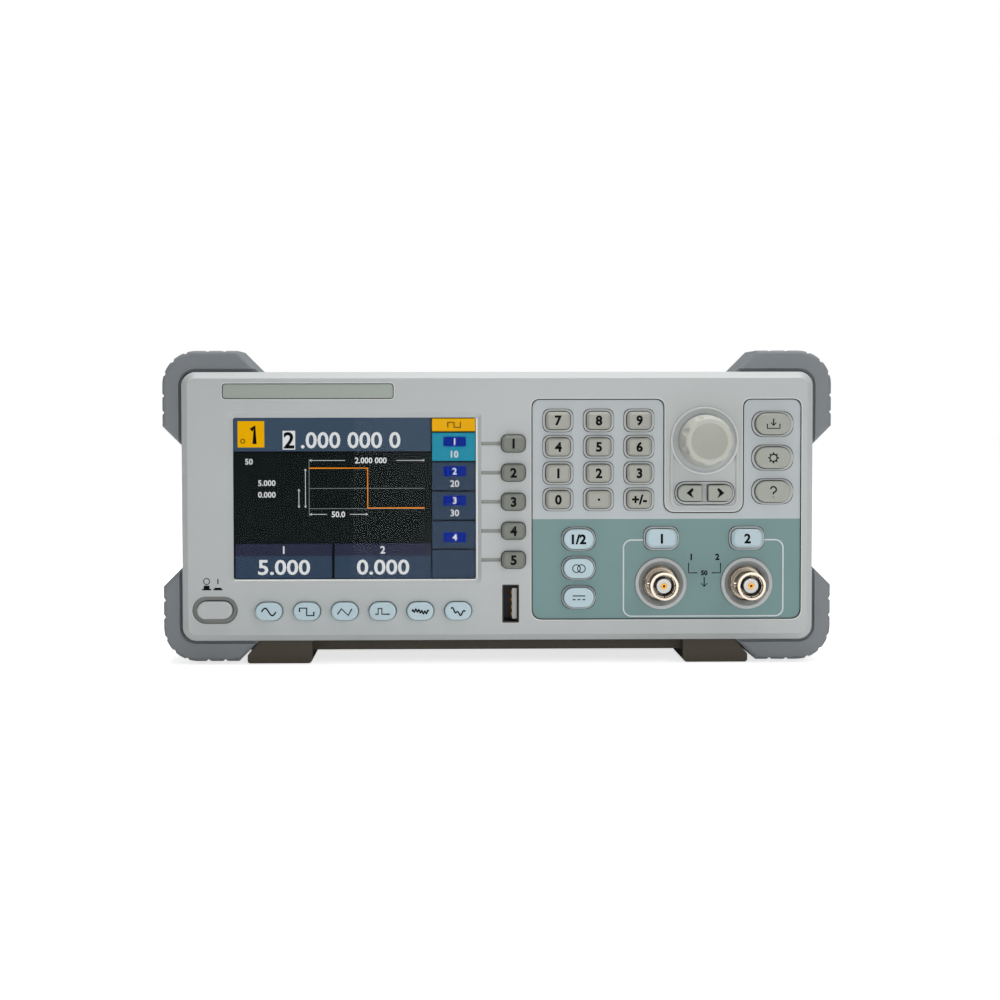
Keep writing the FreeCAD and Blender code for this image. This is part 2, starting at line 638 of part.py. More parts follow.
def corner_grooves(side, level, top, y0, y1):
    """Shallow V grooves that run front to back over the rubber."""
    outer_x = WIDTH / 2
    outer_z = top if level > 0 else BEZEL_BOTTOM - BUMPER
    depth = 0.8
    half = 0.9
    grooves = []
    for along in (15.7, 21.6):
        x = side * (outer_x - along)
        top = [(x - half, outer_z + level * 0.01), (x + half, outer_z + level * 0.01),
               (x, outer_z - level * depth)]
        grooves.append(prism(top, y0, y1))
        z = outer_z - level * along
        flank = [(side * (outer_x + 0.01), z - half), (side * (outer_x + 0.01), z + half),
                 (side * (outer_x - depth), z)]
        grooves.append(prism(flank, y0, y1))
    centre_x = side * (outer_x - 12.0)
    centre_z = outer_z - level * 12.0
    for angle in (19.0, 45.0, 71.0):
        dx = side * math.cos(math.radians(angle))
        dz = level * math.sin(math.radians(angle))
        place = V(centre_x + 12.2 * dx, y0, centre_z + 12.2 * dz)
        grooves.append(Part.makeCylinder(0.8, y1 - y0, place, V(0, 1, 0)))
    return grooves


def body_edge(level):
    return BODY_TOP if level > 0 else BODY_BOTTOM


def make_front_bumper(side, level):
    """Grips the bezel's edge and steps in behind it onto the covers."""
    y0 = FRONT + 4.0
    step = FRONT + BEZEL_DEPTH
    y1 = y0 + 32.0
    bezel_z = PANEL_Z + level * BEZEL_HEIGHT / 2
    ahead = prism(corner_points(side, level, HEIGHT, BEZEL_WIDTH / 2, bezel_z), y0, step)
    ahead = ahead.makeFillet(1.6, front_edges(ahead, y0))
    behind = prism(corner_points(side, level, HEIGHT, BODY_HALF, body_edge(level)), step, y1)
    rubber = ahead.fuse(behind).removeSplitter()
    groove_outer = plate(0, 0, BEZEL_WIDTH + 2.6, BEZEL_HEIGHT + 2.6, BEZEL_CORNER + 1.3, 0.0, 5.4)
    bezel = plate(0, 0, BEZEL_WIDTH, BEZEL_HEIGHT, BEZEL_CORNER, 0.0, BEZEL_DEPTH)
    return cut(rubber, [groove_outer, bezel] + corner_grooves(side, level, HEIGHT, y0 - 1, y1 + 1))


def make_rear_bumper(side, level):
    """Stands out behind the rear panel, so that the unit can rest on its back."""
    y0 = DEPTH / 2 - 30.0
    y1 = DEPTH / 2
    inner_z = body_edge(level)
    rubber = prism(corner_points(side, level, REAR_BUMPER_TOP, BODY_HALF, inner_z), y0, y1)
    rubber = rubber.makeFillet(1.4, front_edges(rubber, y1))
    body = prism(rectangle(0.0, (BODY_TOP + BODY_BOTTOM) / 2, 2 * BODY_HALF, BODY_TOP - BODY_BOTTOM,
                           BODY_CORNER), y0 - 1, COVER_END)
    return cut(rubber, [body] + corner_grooves(side, level, REAR_BUMPER_TOP, y0 - 1, y1 + 1))


def make_tilt_leg(side):
    """Flat leg with a round knuckle, two stub pins and a grip groove near its tip."""
    x = side * FOOT_X
    half = LEG_WIDTH / 2
    y = FRONT + LEG_AXIS_DEPTH
    low = LEG_AXIS_Z - LEG_RADIUS
    high = LEG_AXIS_Z + LEG_RADIUS
    knuckle = rod(x - half, y, LEG_AXIS_Z, LEG_RADIUS, LEG_WIDTH, V(1, 0, 0))
    blade = box(x - half, x + half, y, y + LEG_LENGTH - LEG_RADIUS, low, high)
    tip = rod(x - half, y + LEG_LENGTH - LEG_RADIUS, LEG_AXIS_Z, LEG_RADIUS, LEG_WIDTH, V(1, 0, 0))
    pins = rod(x - half - LEG_GAP - 2.0, y, LEG_AXIS_Z, LEG_PIN, LEG_WIDTH + 2 * LEG_GAP + 4.0, V(1, 0, 0))
    leg = fuse([knuckle, blade, tip, pins])
    window = box(x - 4.5, x + 4.5, y + 5.0, y + LEG_LENGTH - 8.0, low - 1, low + 1.6)
    grip = rod(x - half - 1, y + LEG_LENGTH - 4.5, low, 0.7, LEG_WIDTH + 2, V(1, 0, 0))
    return cut(leg, [window, grip])


# ---- Inside and at the rear ----------------------------------------------------------------

def board(x0, x1, y0, y1, posts, parts):
    """Circuit board on its posts, with each component as (x, y, width, depth, height)."""
    sheet = box(x0, x1, y0, y1, BOARD_SEAT, BOARD_SEAT + 1.6)
    top = BOARD_SEAT + 1.6
    blocks = [box(x - w / 2, x + w / 2, y - d / 2, y + d / 2, top, top + h) for x, y, w, d, h in parts]
    holes = [rod(x, y, BOARD_SEAT - 1, 1.6, 4.0, V(0, 0, 1)) for x, y in posts]
    return fuse([cut(sheet, holes)] + blocks)


def make_main_board():
    parts = [(-60.0, -40.0, 44.0, 36.0, 8.0), (-5.0, -40.0, 44.0, 36.0, 8.0), (-30.0, 20.0, 27.0, 27.0, 3.0),
             (10.0, 20.0, 18.0, 18.0, 2.0), (-70.0, 30.0, 20.0, 14.0, 2.0), (20.0, 70.0, 12.0, 6.0, 9.0),
             (-20.0, -76.0, 30.0, 6.0, 8.0)]
    pcb = board(-100.0, 42.0, -86.0, 90.0, MAIN_BOARD_POSTS, parts)
    fins = []
    for step in range(7):
        x = -42.0 + 4.0 * step
        fins.append(box(x, x + 1.2, 7.5, 32.5, BOARD_SEAT + 4.0, BOARD_SEAT + 14.0))
    return fuse([pcb] + fins)


def make_power_supply():
    parts = [(76.0, 16.0, 30.0, 26.0, 24.0), (66.0, 62.0, 18.0, 16.0, 18.0), (92.0, 62.0, 12.0, 18.0, 14.0),
             (76.0, -34.0, 22.0, 10.0, 9.0)]
    pcb = board(50.0, 102.0, -50.0, 90.0, SUPPLY_POSTS, parts)
    cans = []
    for x, y, radius, height in ((62.0, -16.0, 8.0, 30.0), (82.0, -16.0, 5.0, 20.0), (95.0, -16.0, 5.0, 20.0),
                                 (62.0, 40.0, 6.0, 25.0)):
        cans.append(rod(x, y, BOARD_SEAT + 1.6, radius, height, V(0, 0, 1)))
    heatsink = box(99.0, 101.5, 0.0, 50.0, BOARD_SEAT + 1.6, BOARD_SEAT + 34.0)
    return fuse([pcb, heatsink] + cans)


def make_mains_inlet():
    """Three-pin appliance inlet above a drawer that holds the fuse."""
    x, z = INLET
    face = REAR_FACE + 3.0
    flange = prism(rectangle(x, z, 50.0, 34.0, 8.0), REAR_FACE, face)
    body = box(x - 14.0, x + 14.0, REAR_FACE - 22.0, REAR_FACE, z - 16.0, z + 16.0)
    mouth_z = z + 5.0
    mouth = [(x - 12.2, mouth_z - 8.3), (x + 12.2, mouth_z - 8.3), (x + 12.2, mouth_z + 3.5),
             (x + 7.2, mouth_z + 8.3), (x - 7.2, mouth_z + 8.3), (x - 12.2, mouth_z + 3.5)]
    recess = prism(mouth, face - 17.0, face + 1)
    drawer = prism(rectangle(x, z - 10.6, 22.0, 6.8, 0.8), face - 20.0, face + 1)
    screws = [rod(sx, REAR_FACE - 1, sz, 1.6, 5.0, V(0, 1, 0)) for sx, sz in INLET_SCREWS]
    inlet = cut(flange.fuse(body), [recess, drawer] + screws)
    blades = [(x - 7.0, mouth_z - 2.0), (x + 7.0, mouth_z - 2.0), (x, mouth_z + 2.0)]
    pieces = [box(bx - 1.0, bx + 1.0, face - 18.0, face - 2.0, bz - 2.0, bz + 2.0) for bx, bz in blades]
    holder = prism(rectangle(x, z - 10.6, 21.6, 6.4, 0.7), face - 20.0, face + 0.8)
    notch = box(x - 4.0, x + 4.0, face - 0.4, face + 1, z - 14.0, z - 12.2)
    pieces.append(holder.cut(notch))
    tabs = [box(bx - 3.0, bx + 3.0, REAR_FACE - 30.0, REAR_FACE - 22.0, bz - 0.4, bz + 0.4) for bx, bz in blades]
    return fuse([inlet] + pieces + tabs)


def make_rear_sockets():
    solids = []
    for x in REAR_JACKS:
        barrel = make_barrel(REAR_JACK_REACH)
        barrel.rotate(V(0, 0, 0), V(0, 0, 1), 180)
        barrel.translate(V(x, REAR_FACE, REAR_JACK_Z))
        nut = rod(x, REAR_FACE, REAR_JACK_Z, 7.0, 1.8, V(0, 1, 0)).cut(
            rod(x, REAR_FACE, REAR_JACK_Z, 4.7, 1.8, V(0, 1, 0)))
        neck = rod(x, REAR_FACE - REAR_PLATE, REAR_JACK_Z, 5.5, REAR_PLATE, V(0, 1, 0))
        body = rod(x, REAR_FACE - REAR_PLATE - 8.0, REAR_JACK_Z, 8.0, 8.0, V(0, 1, 0))
        solids.append(fuse([barrel, nut, neck, body]))
    x, z = USB_REAR
    shell = box(x - 6.0, x + 6.0, REAR_FACE - 16.0, REAR_FACE + 0.4, z - 5.5, z + 5.5)
    port = [(x - 4.2, z - 4.0), (x + 4.2, z - 4.0), (x + 4.2, z + 1.8), (x + 2.4, z + 4.0),
            (x - 2.4, z + 4.0), (x - 4.2, z + 1.8)]
    hollow = prism(port, REAR_FACE - 9.0, REAR_FACE + 1)
    tongue = box(x - 2.8, x + 2.8, REAR_FACE - 9.5, REAR_FACE - 0.8, z - 1.6, z + 1.6)
    solids.append(shell.cut(hollow).fuse(tongue))
    return solids


def make_screw(x, y, z, direction, head_radius, head, shank_radius, shank):
    """Pan-head screw whose head seats at the given point; direction is the way the shank points."""
    out = direction * -1
    head_body = Part.makeCylinder(head_radius, head, V(x, y, z), out)
    top = V(x, y, z) + out * head
    cross = []
    for turn in (0, 1):
        size = (head_radius * 1.2, 0.7) if turn else (0.7, head_radius * 1.2)
        if abs(direction.z) > 0.5:
            cross.append(Part.makeBox(size[0], size[1], 1.6, V(x - size[0] / 2, y - size[1] / 2, top.z - 0.8)))
        else:
            cross.append(Part.makeBox(size[0], 1.6, size[1], V(x - size[0] / 2, top.y - 0.8, z - size[1] / 2)))
    shank_body = Part.makeCylinder(shank_radius, shank, V(x, y, z), direction)
    return cut(head_body.fuse(shank_body), cross)


def make_screws():
    solids = []
    forward = V(0, -1, 0)
    for x, z in PANEL_SCREWS:
        solids.append(make_screw(x, REAR_FACE, z, forward, 2.8, 1.8, 1.5, 9.0))
    for x, z in INLET_SCREWS:
        solids.append(make_screw(x, REAR_FACE + 3.0, z, forward, 2.8, 1.8, 1.5, 9.0))
    for x, z in BOARD_POSTS:
        solids.append(make_screw(x, FRONT + BOARD_FAR, PANEL_Z + z, forward, 2.2, 1.4, 1.1, 6.0))
    for x, y in MAIN_BOARD_POSTS + SUPPLY_POSTS:
        solids.append(make_screw(x, y, BOARD_SEAT + 1.6, V(0, 0, -1), 2.8, 1.8, 1.5, 7.0))
    return solids


def make_rear_feet():
    pads = []
    for side in (-1, 1):
        x = side * FOOT_X
        pad = box(x - FOOT_WIDTH / 2, x + FOOT_WIDTH / 2, 90.0, 112.0, 0.0, BODY_BOTTOM)
        upright = [edge for edge in pad.Edges if abs(edge.Vertexes[0].X - edge.Vertexes[1].X) < 1e-6
                   and abs(edge.Vertexes[0].Y - edge.Vertexes[1].Y) < 1e-6]
        pads.append(pad.makeFillet(4.0, upright))
    return pads


# ---- Write every piece ---------------------------------------------------------------------

save("front_bezel", make_front_bezel())
save("control_overlay", make_control_overlay())
save("display_window", make_display_window())
save("lcd_module", make_lcd_module())
save("name_strip", plate(-66.3, 40.3, 59.2, 4.9, 1.05, 0.1, 0.6))
save("keypad_mat", make_keypad_mat())
save("key_board", make_key_board())
save("encoder_body", make_encoder_body())
save("encoder_shaft", make_encoder_shaft())
save("tuning_knob", make_tuning_knob())
save("usb_host_socket", make_usb_host_socket())
save("power_switch", make_power_switch())
save("power_button", make_power_button())
for key_name, (key_style, key_x, key_z) in KEYS.items():
    save(key_name, make_key(key_style, key_x, key_z))
save_group("output_sockets", make_output_sockets())
save("top_cover", make_top_cover())
save("bottom_cover", make_bottom_cover())
save("rear_panel", make_rear_panel())
corners = [(side, level) for side in (-1, 1) for level in (-1, 1)]
save_group("front_bumpers", [make_front_bumper(side, level) for side, level in corners])
save_group("rear_bumpers", [make_rear_bumper(side, level) for side, level in corners])
save("tilt_leg_left", make_tilt_leg(-1))
save("tilt_leg_right", make_tilt_leg(1))
save("main_board", make_main_board())
save("power_supply", make_power_supply())
save("mains_inlet", make_mains_inlet())
save_group("rear_sockets", make_rear_sockets())
save_group("rear_feet", make_rear_feet())
save_group("screws", make_screws())
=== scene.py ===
# %% [markdown]
# # A bench function generator, dressed in Blender
# This lesson gives each of them its finish, then adds the small things that make the object look real:
# legends, printed lines, the picture on the display, socket details, and painted shade and painted
# highlights along seams, lips and rims.

import math

import bpy
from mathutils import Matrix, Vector


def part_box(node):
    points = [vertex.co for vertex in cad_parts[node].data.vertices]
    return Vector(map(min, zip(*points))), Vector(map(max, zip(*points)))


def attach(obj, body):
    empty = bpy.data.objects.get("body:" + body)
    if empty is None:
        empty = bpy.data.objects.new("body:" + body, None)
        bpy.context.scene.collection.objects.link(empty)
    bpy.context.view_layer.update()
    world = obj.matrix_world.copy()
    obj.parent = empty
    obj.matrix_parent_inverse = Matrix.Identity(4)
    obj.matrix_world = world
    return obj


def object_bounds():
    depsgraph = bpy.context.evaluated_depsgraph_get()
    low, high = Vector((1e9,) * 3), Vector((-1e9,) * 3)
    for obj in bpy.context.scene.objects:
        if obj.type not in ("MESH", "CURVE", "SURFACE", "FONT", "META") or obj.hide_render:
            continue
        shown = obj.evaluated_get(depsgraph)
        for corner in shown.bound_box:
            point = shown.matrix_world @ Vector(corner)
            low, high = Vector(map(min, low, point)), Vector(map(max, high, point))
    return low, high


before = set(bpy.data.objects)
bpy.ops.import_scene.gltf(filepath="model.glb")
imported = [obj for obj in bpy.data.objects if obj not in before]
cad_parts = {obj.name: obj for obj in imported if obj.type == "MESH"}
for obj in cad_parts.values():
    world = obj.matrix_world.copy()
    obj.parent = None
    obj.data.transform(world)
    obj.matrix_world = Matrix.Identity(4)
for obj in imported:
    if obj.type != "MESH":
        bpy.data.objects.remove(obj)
cad_low, cad_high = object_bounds()
print("construction box", [round(v, 4) for v in cad_high - cad_low])

# %% [markdown]
# Everything on the front is laid out from the middle of the front panel, in millimetres: x to the
# right, z upwards and depth inwards from the bezel's face. The bezel's own box gives that middle,
# so nothing here has to be measured twice. The output rings are the bezel's foremost points.

# %% Panel measures
MM = 0.001
RING_RISE = 0.6 * MM
bezel_low, bezel_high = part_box("front_bezel")
PANEL_X = (bezel_low.x + bezel_high.x) / 2
PANEL_Z = (bezel_low.z + bezel_high.z) / 2
FACE_Y = bezel_low.y + RING_RISE
OVERLAY_DEPTH = 0.3


def on_panel(x, z, depth=0.0):
    return Vector((PANEL_X + x * MM, FACE_Y + depth * MM, PANEL_Z + z * MM))


def node_middle(name):
    """Middle of a piece on the panel, in panel millimetres, and the depth of its front."""
    low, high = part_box(name)
    middle = (low + high) / 2
    return (middle.x - PANEL_X) / MM, (middle.z - PANEL_Z) / MM, (low.y - FACE_Y) / MM


print("panel middle", round(PANEL_X, 4), round(PANEL_Z, 4), "face", round(FACE_Y, 4))

# %% [markdown]
# A long lens a little to the left of the unit and just above its middle shows the front almost
# square on. The camera turns slightly to the right and looks slightly down.

# %% Camera
CAMERA_LENS = 81.4
CAMERA_PLACE = (-18.0, 35.8, -789.7)
CAMERA_TURN = math.radians(1.353)
CAMERA_DIP = math.radians(2.432)
CAMERA_ROLL = math.radians(0.07)
bpy.ops.object.camera_add(location=on_panel(*CAMERA_PLACE))
camera = bpy.context.object
camera.name = "studio_camera"
camera.rotation_euler = (math.pi / 2 - CAMERA_DIP, CAMERA_ROLL, -CAMERA_TURN)
camera.data.lens = CAMERA_LENS
camera.data.clip_start = 0.01
bpy.context.scene.camera = camera
print("camera stands", round(-CAMERA_PLACE[2]), "mm in front of the panel")

# %% [markdown]
# A white table and a bright, even surround keep the picture pale. One large soft light stands
# above and to the right of the camera and a weak one fills in from the left. A strong one straight
# above draws the white line along the bezel's top bevel, and a small one close to the table stands
# for the light that the table throws back. The surround and the table look brighter to the camera
# than to the object, which keeps the shadows on the front soft but visible.

# %% Table and light
scene = bpy.context.scene
scene.view_settings.view_transform = "Standard"
world = bpy.data.worlds.new("studio_world")
scene.world = world
world.use_nodes = True
AMBIENT = 0.26
TABLE_GLOW = 0.75
sky = world.node_tree.nodes["Background"]
sky.inputs["Color"].default_value = (1.0, 1.0, 1.0, 1.0)
seen = world.node_tree.nodes.new("ShaderNodeLightPath")
sky_level = world.node_tree.nodes.new("ShaderNodeMapRange")
sky_level.inputs["To Min"].default_value = AMBIENT
sky_level.inputs["To Max"].default_value = 1.0
world.node_tree.links.new(seen.outputs["Is Camera Ray"], sky_level.inputs["Value"])
world.node_tree.links.new(sky_level.outputs["Result"], sky.inputs["Strength"])

bpy.ops.mesh.primitive_circle_add(vertices=96, radius=6.0, fill_type="NGON", location=(0, 0, -0.0002))
table = bpy.context.object
table.name = "table_floor"
table_paint = bpy.data.materials.new("table_white")
table_paint.use_nodes = True
table_shader = table_paint.node_tree.nodes["Principled BSDF"]
table_shader.inputs["Base Color"].default_value = (0.93, 0.93, 0.93, 1.0)
table_shader.inputs["Roughness"].default_value = 0.9
table_shader.inputs["Emission Color"].default_value = (1.0, 1.0, 1.0, 1.0)
table_seen = table_paint.node_tree.nodes.new("ShaderNodeLightPath")
table_glow = table_paint.node_tree.nodes.new("ShaderNodeMapRange")
table_glow.inputs["To Min"].default_value = 0.0
table_glow.inputs["To Max"].default_value = TABLE_GLOW
table_paint.node_tree.links.new(table_seen.outputs["Is Camera Ray"], table_glow.inputs["Value"])
table_paint.node_tree.links.new(table_glow.outputs["Result"], table_shader.inputs["Emission Strength"])
table.data.materials.append(table_paint)


def soft_light(name, place, target, size, power):
    """Square soft light that faces a point; places are in metres."""
    bpy.ops.object.light_add(type="AREA", location=place)
    light = bpy.context.object
    light.name = name
    light.data.size = size
    light.data.energy = power
    aim = Vector(target) - Vector(place)
    light.rotation_euler = aim.to_track_quat("-Z", "Y").to_euler()
    return light


middle = (cad_low + cad_high) / 2
soft_light("key_light", (0.75, -1.1, 0.8), middle, 0.7, 1.9)
soft_light("fill_light", (-1.0, -1.0, 0.5), middle, 0.9, 0.2)
soft_light("top_light", (0.1, -0.02, 1.3), middle, 0.8, 14.0)
soft_light("table_bounce", (0.06, -0.42, 0.02), middle, 0.25, 0.3)

# %% [markdown]
# Moulded plastic is never one flat colour: it has a fine spark-eroded grain and slow clouds of
# tone. One node group makes both from Object coordinates, and each material places it with its
# own scale. The group gives only a height and a mask, so the shader itself stays in the material.

# %% Shared grain group
def group_with(name, inputs, outputs):
    group = bpy.data.node_groups.new(name, "ShaderNodeTree")
    for label, kind in inputs:
        group.interface.new_socket(label, in_out="INPUT", socket_type=kind)
    for label, kind in outputs:
        group.interface.new_socket(label, in_out="OUTPUT", socket_type=kind)
    source = group.nodes.new("NodeGroupInput")
    result = group.nodes.new("NodeGroupOutput")
    return group, source, result


grain_group, grain_in, grain_out = group_with(
    "moulded_grain",
    [("Place", "NodeSocketVector"), ("Grain per metre", "NodeSocketFloat"),
     ("Clouds per metre", "NodeSocketFloat")],
    [("Height", "NodeSocketFloat"), ("Cloud", "NodeSocketFloat")])
fine = grain_group.nodes.new("ShaderNodeTexNoise")
fine.inputs["Detail"].default_value = 2.0
cloud = grain_group.nodes.new("ShaderNodeTexNoise")
cloud.inputs["Detail"].default_value = 3.0
grain_links = grain_group.links
grain_links.new(grain_in.outputs["Place"], fine.inputs["Vector"])
grain_links.new(grain_in.outputs["Place"], cloud.inputs["Vector"])
grain_links.new(grain_in.outputs["Grain per metre"], fine.inputs["Scale"])
grain_links.new(grain_in.outputs["Clouds per metre"], cloud.inputs["Scale"])
grain_links.new(fine.outputs["Fac"], grain_out.inputs["Height"])
grain_links.new(cloud.outputs["Fac"], grain_out.inputs["Cloud"])
print("grain group sockets", len(grain_group.interface.items_tree))

# %% [markdown]
# Edges of handled plastic and rubber go a little lighter where they rub, and the same lightening also serves
# as a painted highlight along every edge. The bevel node gives a normal as if the edge were round; where it
# differs from the true normal there is an edge, and that difference is the mask for wear and painted
# highlight. An occlusion node marks the tight corners, which the materials darken as painted shade.

# %% Edge and corner group
edge_group, edge_in, edge_out = group_with(
    "edge_and_corner",
    [("Edge Width", "NodeSocketFloat"), ("Corner Reach", "NodeSocketFloat")],
    [("Edge", "NodeSocketFloat"), ("Corner", "NodeSocketFloat")])
round_normal = edge_group.nodes.new("ShaderNodeBevel")
round_normal.samples = 4
true_normal = edge_group.nodes.new("ShaderNodeNewGeometry")
likeness = edge_group.nodes.new("ShaderNodeVectorMath")
likeness.operation = "DOT_PRODUCT"
edge_range = edge_group.nodes.new("ShaderNodeMapRange")
edge_range.inputs["From Min"].default_value = 0.995
edge_range.inputs["From Max"].default_value = 0.80
corner_light = edge_group.nodes.new("ShaderNodeAmbientOcclusion")
corner_light.samples = 4
corner_range = edge_group.nodes.new("ShaderNodeMapRange")
corner_range.inputs["From Min"].default_value = 0.75
corner_range.inputs["From Max"].default_value = 0.25
edge_links = edge_group.links
edge_links.new(edge_in.outputs["Edge Width"], round_normal.inputs["Radius"])
edge_links.new(round_normal.outputs["Normal"], likeness.inputs[0])
edge_links.new(true_normal.outputs["Normal"], likeness.inputs[1])
edge_links.new(likeness.outputs["Value"], edge_range.inputs["Value"])
edge_links.new(edge_range.outputs["Result"], edge_out.inputs["Edge"])
edge_links.new(edge_in.outputs["Corner Reach"], corner_light.inputs["Distance"])
edge_links.new(corner_light.outputs["AO"], corner_range.inputs["Value"])
edge_links.new(corner_range.outputs["Result"], edge_out.inputs["Corner"])
print("edge group sockets", len(edge_group.interface.items_tree))


# %% [markdown]
# Colours are written as they would be read from a colour card and turned into the linear values
# that the shader wants.

# %% Colour helper
def card(red, green, blue):
    """Linear colour with alpha from eight-bit colour card values."""
    def linear(value):
        value = value / 255
        return value / 12.92 if value <= 0.04045 else ((value + 0.055) / 1.055) ** 2.4
    return (linear(red), linear(green), linear(blue), 1.0)


def shade(colour, factor):
    return tuple(channel * factor for channel in colour[:3]) + (1.0,)


print("mid grey is", [round(v, 3) for v in card(128, 128, 128)])


# %% [markdown]
# One recipe makes every plastic, rubber and paint: base colour varied by the clouds, darkened in corners as
# painted shade and lightened on edges as wear and painted highlight, roughness that follows the clouds, and
# the grain as bump.
# Only the numbers differ from one finish to the next.

# %% Moulded finish recipe
def mix_colours(tree, mask, first, second):
    """Mix node from one colour (or socket) to another by a mask."""
    node = tree.nodes.new("ShaderNodeMix")
    node.data_type = "RGBA"
    tree.links.new(mask, node.inputs["Factor"])
    for socket, value in ((node.inputs["A"], first), (node.inputs["B"], second)):
        if isinstance(value, tuple):
            socket.default_value = value
        else:
            tree.links.new(value, socket)
    return node.outputs["Result"]


def scaled(tree, value, low, high):
    """Map a 0 to 1 value to a range."""
    node = tree.nodes.new("ShaderNodeMapRange")
    node.inputs["To Min"].default_value = low
    node.inputs["To Max"].default_value = high
    tree.links.new(value, node.inputs["Value"])
    return node.outputs["Result"]


def moulded(name, colour, roughness=0.5, grain=2500.0, bump=0.15, clouds=18.0, tone=0.06,
            edge=1.15, edge_width=0.0004, corner=0.6, corner_reach=0.0015, **sockets):
    """Plastic, rubber or paint with grain, clouds, edges lighter from wear and painted highlight, and
    painted shade in corners.
    """
    material = bpy.data.materials.new(name)
    material.use_nodes = True
    tree = material.node_tree
    shader = tree.nodes["Principled BSDF"]
    place = tree.nodes.new("ShaderNodeTexCoord")
    grained = tree.nodes.new("ShaderNodeGroup")
    grained.node_tree = grain_group
    grained.inputs["Grain per metre"].default_value = grain
    grained.inputs["Clouds per metre"].default_value = clouds
    tree.links.new(place.outputs["Object"], grained.inputs["Place"])
    worn_and_shaded = tree.nodes.new("ShaderNodeGroup")
    worn_and_shaded.node_tree = edge_group
    worn_and_shaded.inputs["Edge Width"].default_value = edge_width
    worn_and_shaded.inputs["Corner Reach"].default_value = corner_reach
    clouded = mix_colours(tree, grained.outputs["Cloud"], shade(colour, 1 - tone), shade(colour, 1 + tone))
    # Corners and gaps fade towards a near-black copy of the colour: painted shade.
    corner_shaded = mix_colours(tree, scaled(tree, worn_and_shaded.outputs["Corner"], 0.0, 1 - corner), clouded,
                        shade(colour, 0.12))
    # Edges turn lighter: partly wear, partly a painted highlight.
    rubbed_and_lit = mix_colours(tree, scaled(tree, worn_and_shaded.outputs["Edge"], 0.0, 0.7), corner_shaded, shade(colour, edge))
    tree.links.new(rubbed_and_lit, shader.inputs["Base Color"])
    tree.links.new(scaled(tree, grained.outputs["Cloud"], roughness - 0.06, roughness + 0.06),
                   shader.inputs["Roughness"])
    relief = tree.nodes.new("ShaderNodeBump")
    relief.inputs["Strength"].default_value = bump
    relief.inputs["Distance"].default_value = 0.0002
    tree.links.new(grained.outputs["Height"], relief.inputs["Height"])
    tree.links.new(relief.outputs["Normal"], shader.inputs["Normal"])
    for socket, value in sockets.items():
        shader.inputs[socket.replace("_", " ")].default_value = value
    return material


bezel_grey = moulded("bezel_grey", card(192, 196, 196), roughness=0.48, bump=0.10, corner=0.3)
key_grey = moulded("key_grey", card(170, 171, 162), roughness=0.55, bump=0.12, tone=0.04, corner=0.4)
soft_grey = moulded("soft_grey", card(126, 129, 121), roughness=0.55, bump=0.12, tone=0.04, corner=0.4)
menu_grey = moulded("menu_grey", card(168, 171, 162), roughness=0.55, bump=0.12, tone=0.04, corner=0.4)
key_blue = moulded("key_blue", card(190, 211, 219), roughness=0.42, bump=0.08, tone=0.03)
knob_grey = moulded("knob_grey", card(192, 193, 184), roughness=0.55, bump=0.15)
bumper_grey = moulded("bumper_grey", card(130, 135, 139), roughness=0.62, bump=0.35, grain=1800.0,
                      edge=1.5, edge_width=0.0007)
foot_brown = moulded("foot_brown", card(76, 69, 56), roughness=0.6, bump=0.3, edge=1.4)
cover_light = moulded("cover_light", card(186, 189, 189), roughness=0.55, bump=0.4, grain=1500.0)
cover_dark = moulded("cover_dark", card(42, 37, 29), roughness=0.55, bump=0.4, grain=1500.0, edge=1.4)
rear_paint = moulded("rear_paint", card(176, 179, 178), roughness=0.5, bump=0.3, grain=1200.0)
mat_silicone = moulded("mat_silicone", card(190, 192, 190), roughness=0.6)
connector_black = moulded("connector_black", card(30, 28, 26), roughness=0.4, edge=1.8)
pad_rubber = moulded("pad_rubber", card(36, 35, 34), roughness=0.8, bump=0.4)
strip_grey = moulded("strip_grey", card(165, 174, 166), roughness=0.35, bump=0.05, tone=0.03)
print("materials so far", len(bpy.data.materials))

# %% [markdown]
# The overlay is one printed sheet: pale blue-grey above, sea green below, with a straight colour
# break. A greater-than test on height picks the ink, which keeps the break perfectly sharp.

# %% Printed overlay
PRINT_SPLIT = -4.5
overlay_print = moulded("overlay_print", card(190, 197, 199), roughness=0.38, bump=0.06, tone=0.03)


def print_two_inks(material, height, lower_ink):
    """Below a height the sheet takes a second ink, with its own soft clouds."""
    tree = material.node_tree
    shader = tree.nodes["Principled BSDF"]
    upper = shader.inputs["Base Color"].links[0].from_socket
    grained = next(node for node in tree.nodes if node.type == "GROUP" and node.node_tree == grain_group)
    place = next(node for node in tree.nodes if node.type == "TEX_COORD")
    axes = tree.nodes.new("ShaderNodeSeparateXYZ")
    above = tree.nodes.new("ShaderNodeMath")
    above.operation = "GREATER_THAN"
    above.inputs[1].default_value = height
    tree.links.new(place.outputs["Object"], axes.inputs["Vector"])
    tree.links.new(axes.outputs["Z"], above.inputs[0])
    lower = mix_colours(tree, grained.outputs["Cloud"], shade(lower_ink, 0.95), shade(lower_ink, 1.05))
    tree.links.new(mix_colours(tree, above.outputs["Value"], lower, upper), shader.inputs["Base Color"])


print_two_inks(overlay_print, PANEL_Z + PRINT_SPLIT * MM, card(116, 149, 149))
print("colour break", PRINT_SPLIT, "mm from the panel's middle")
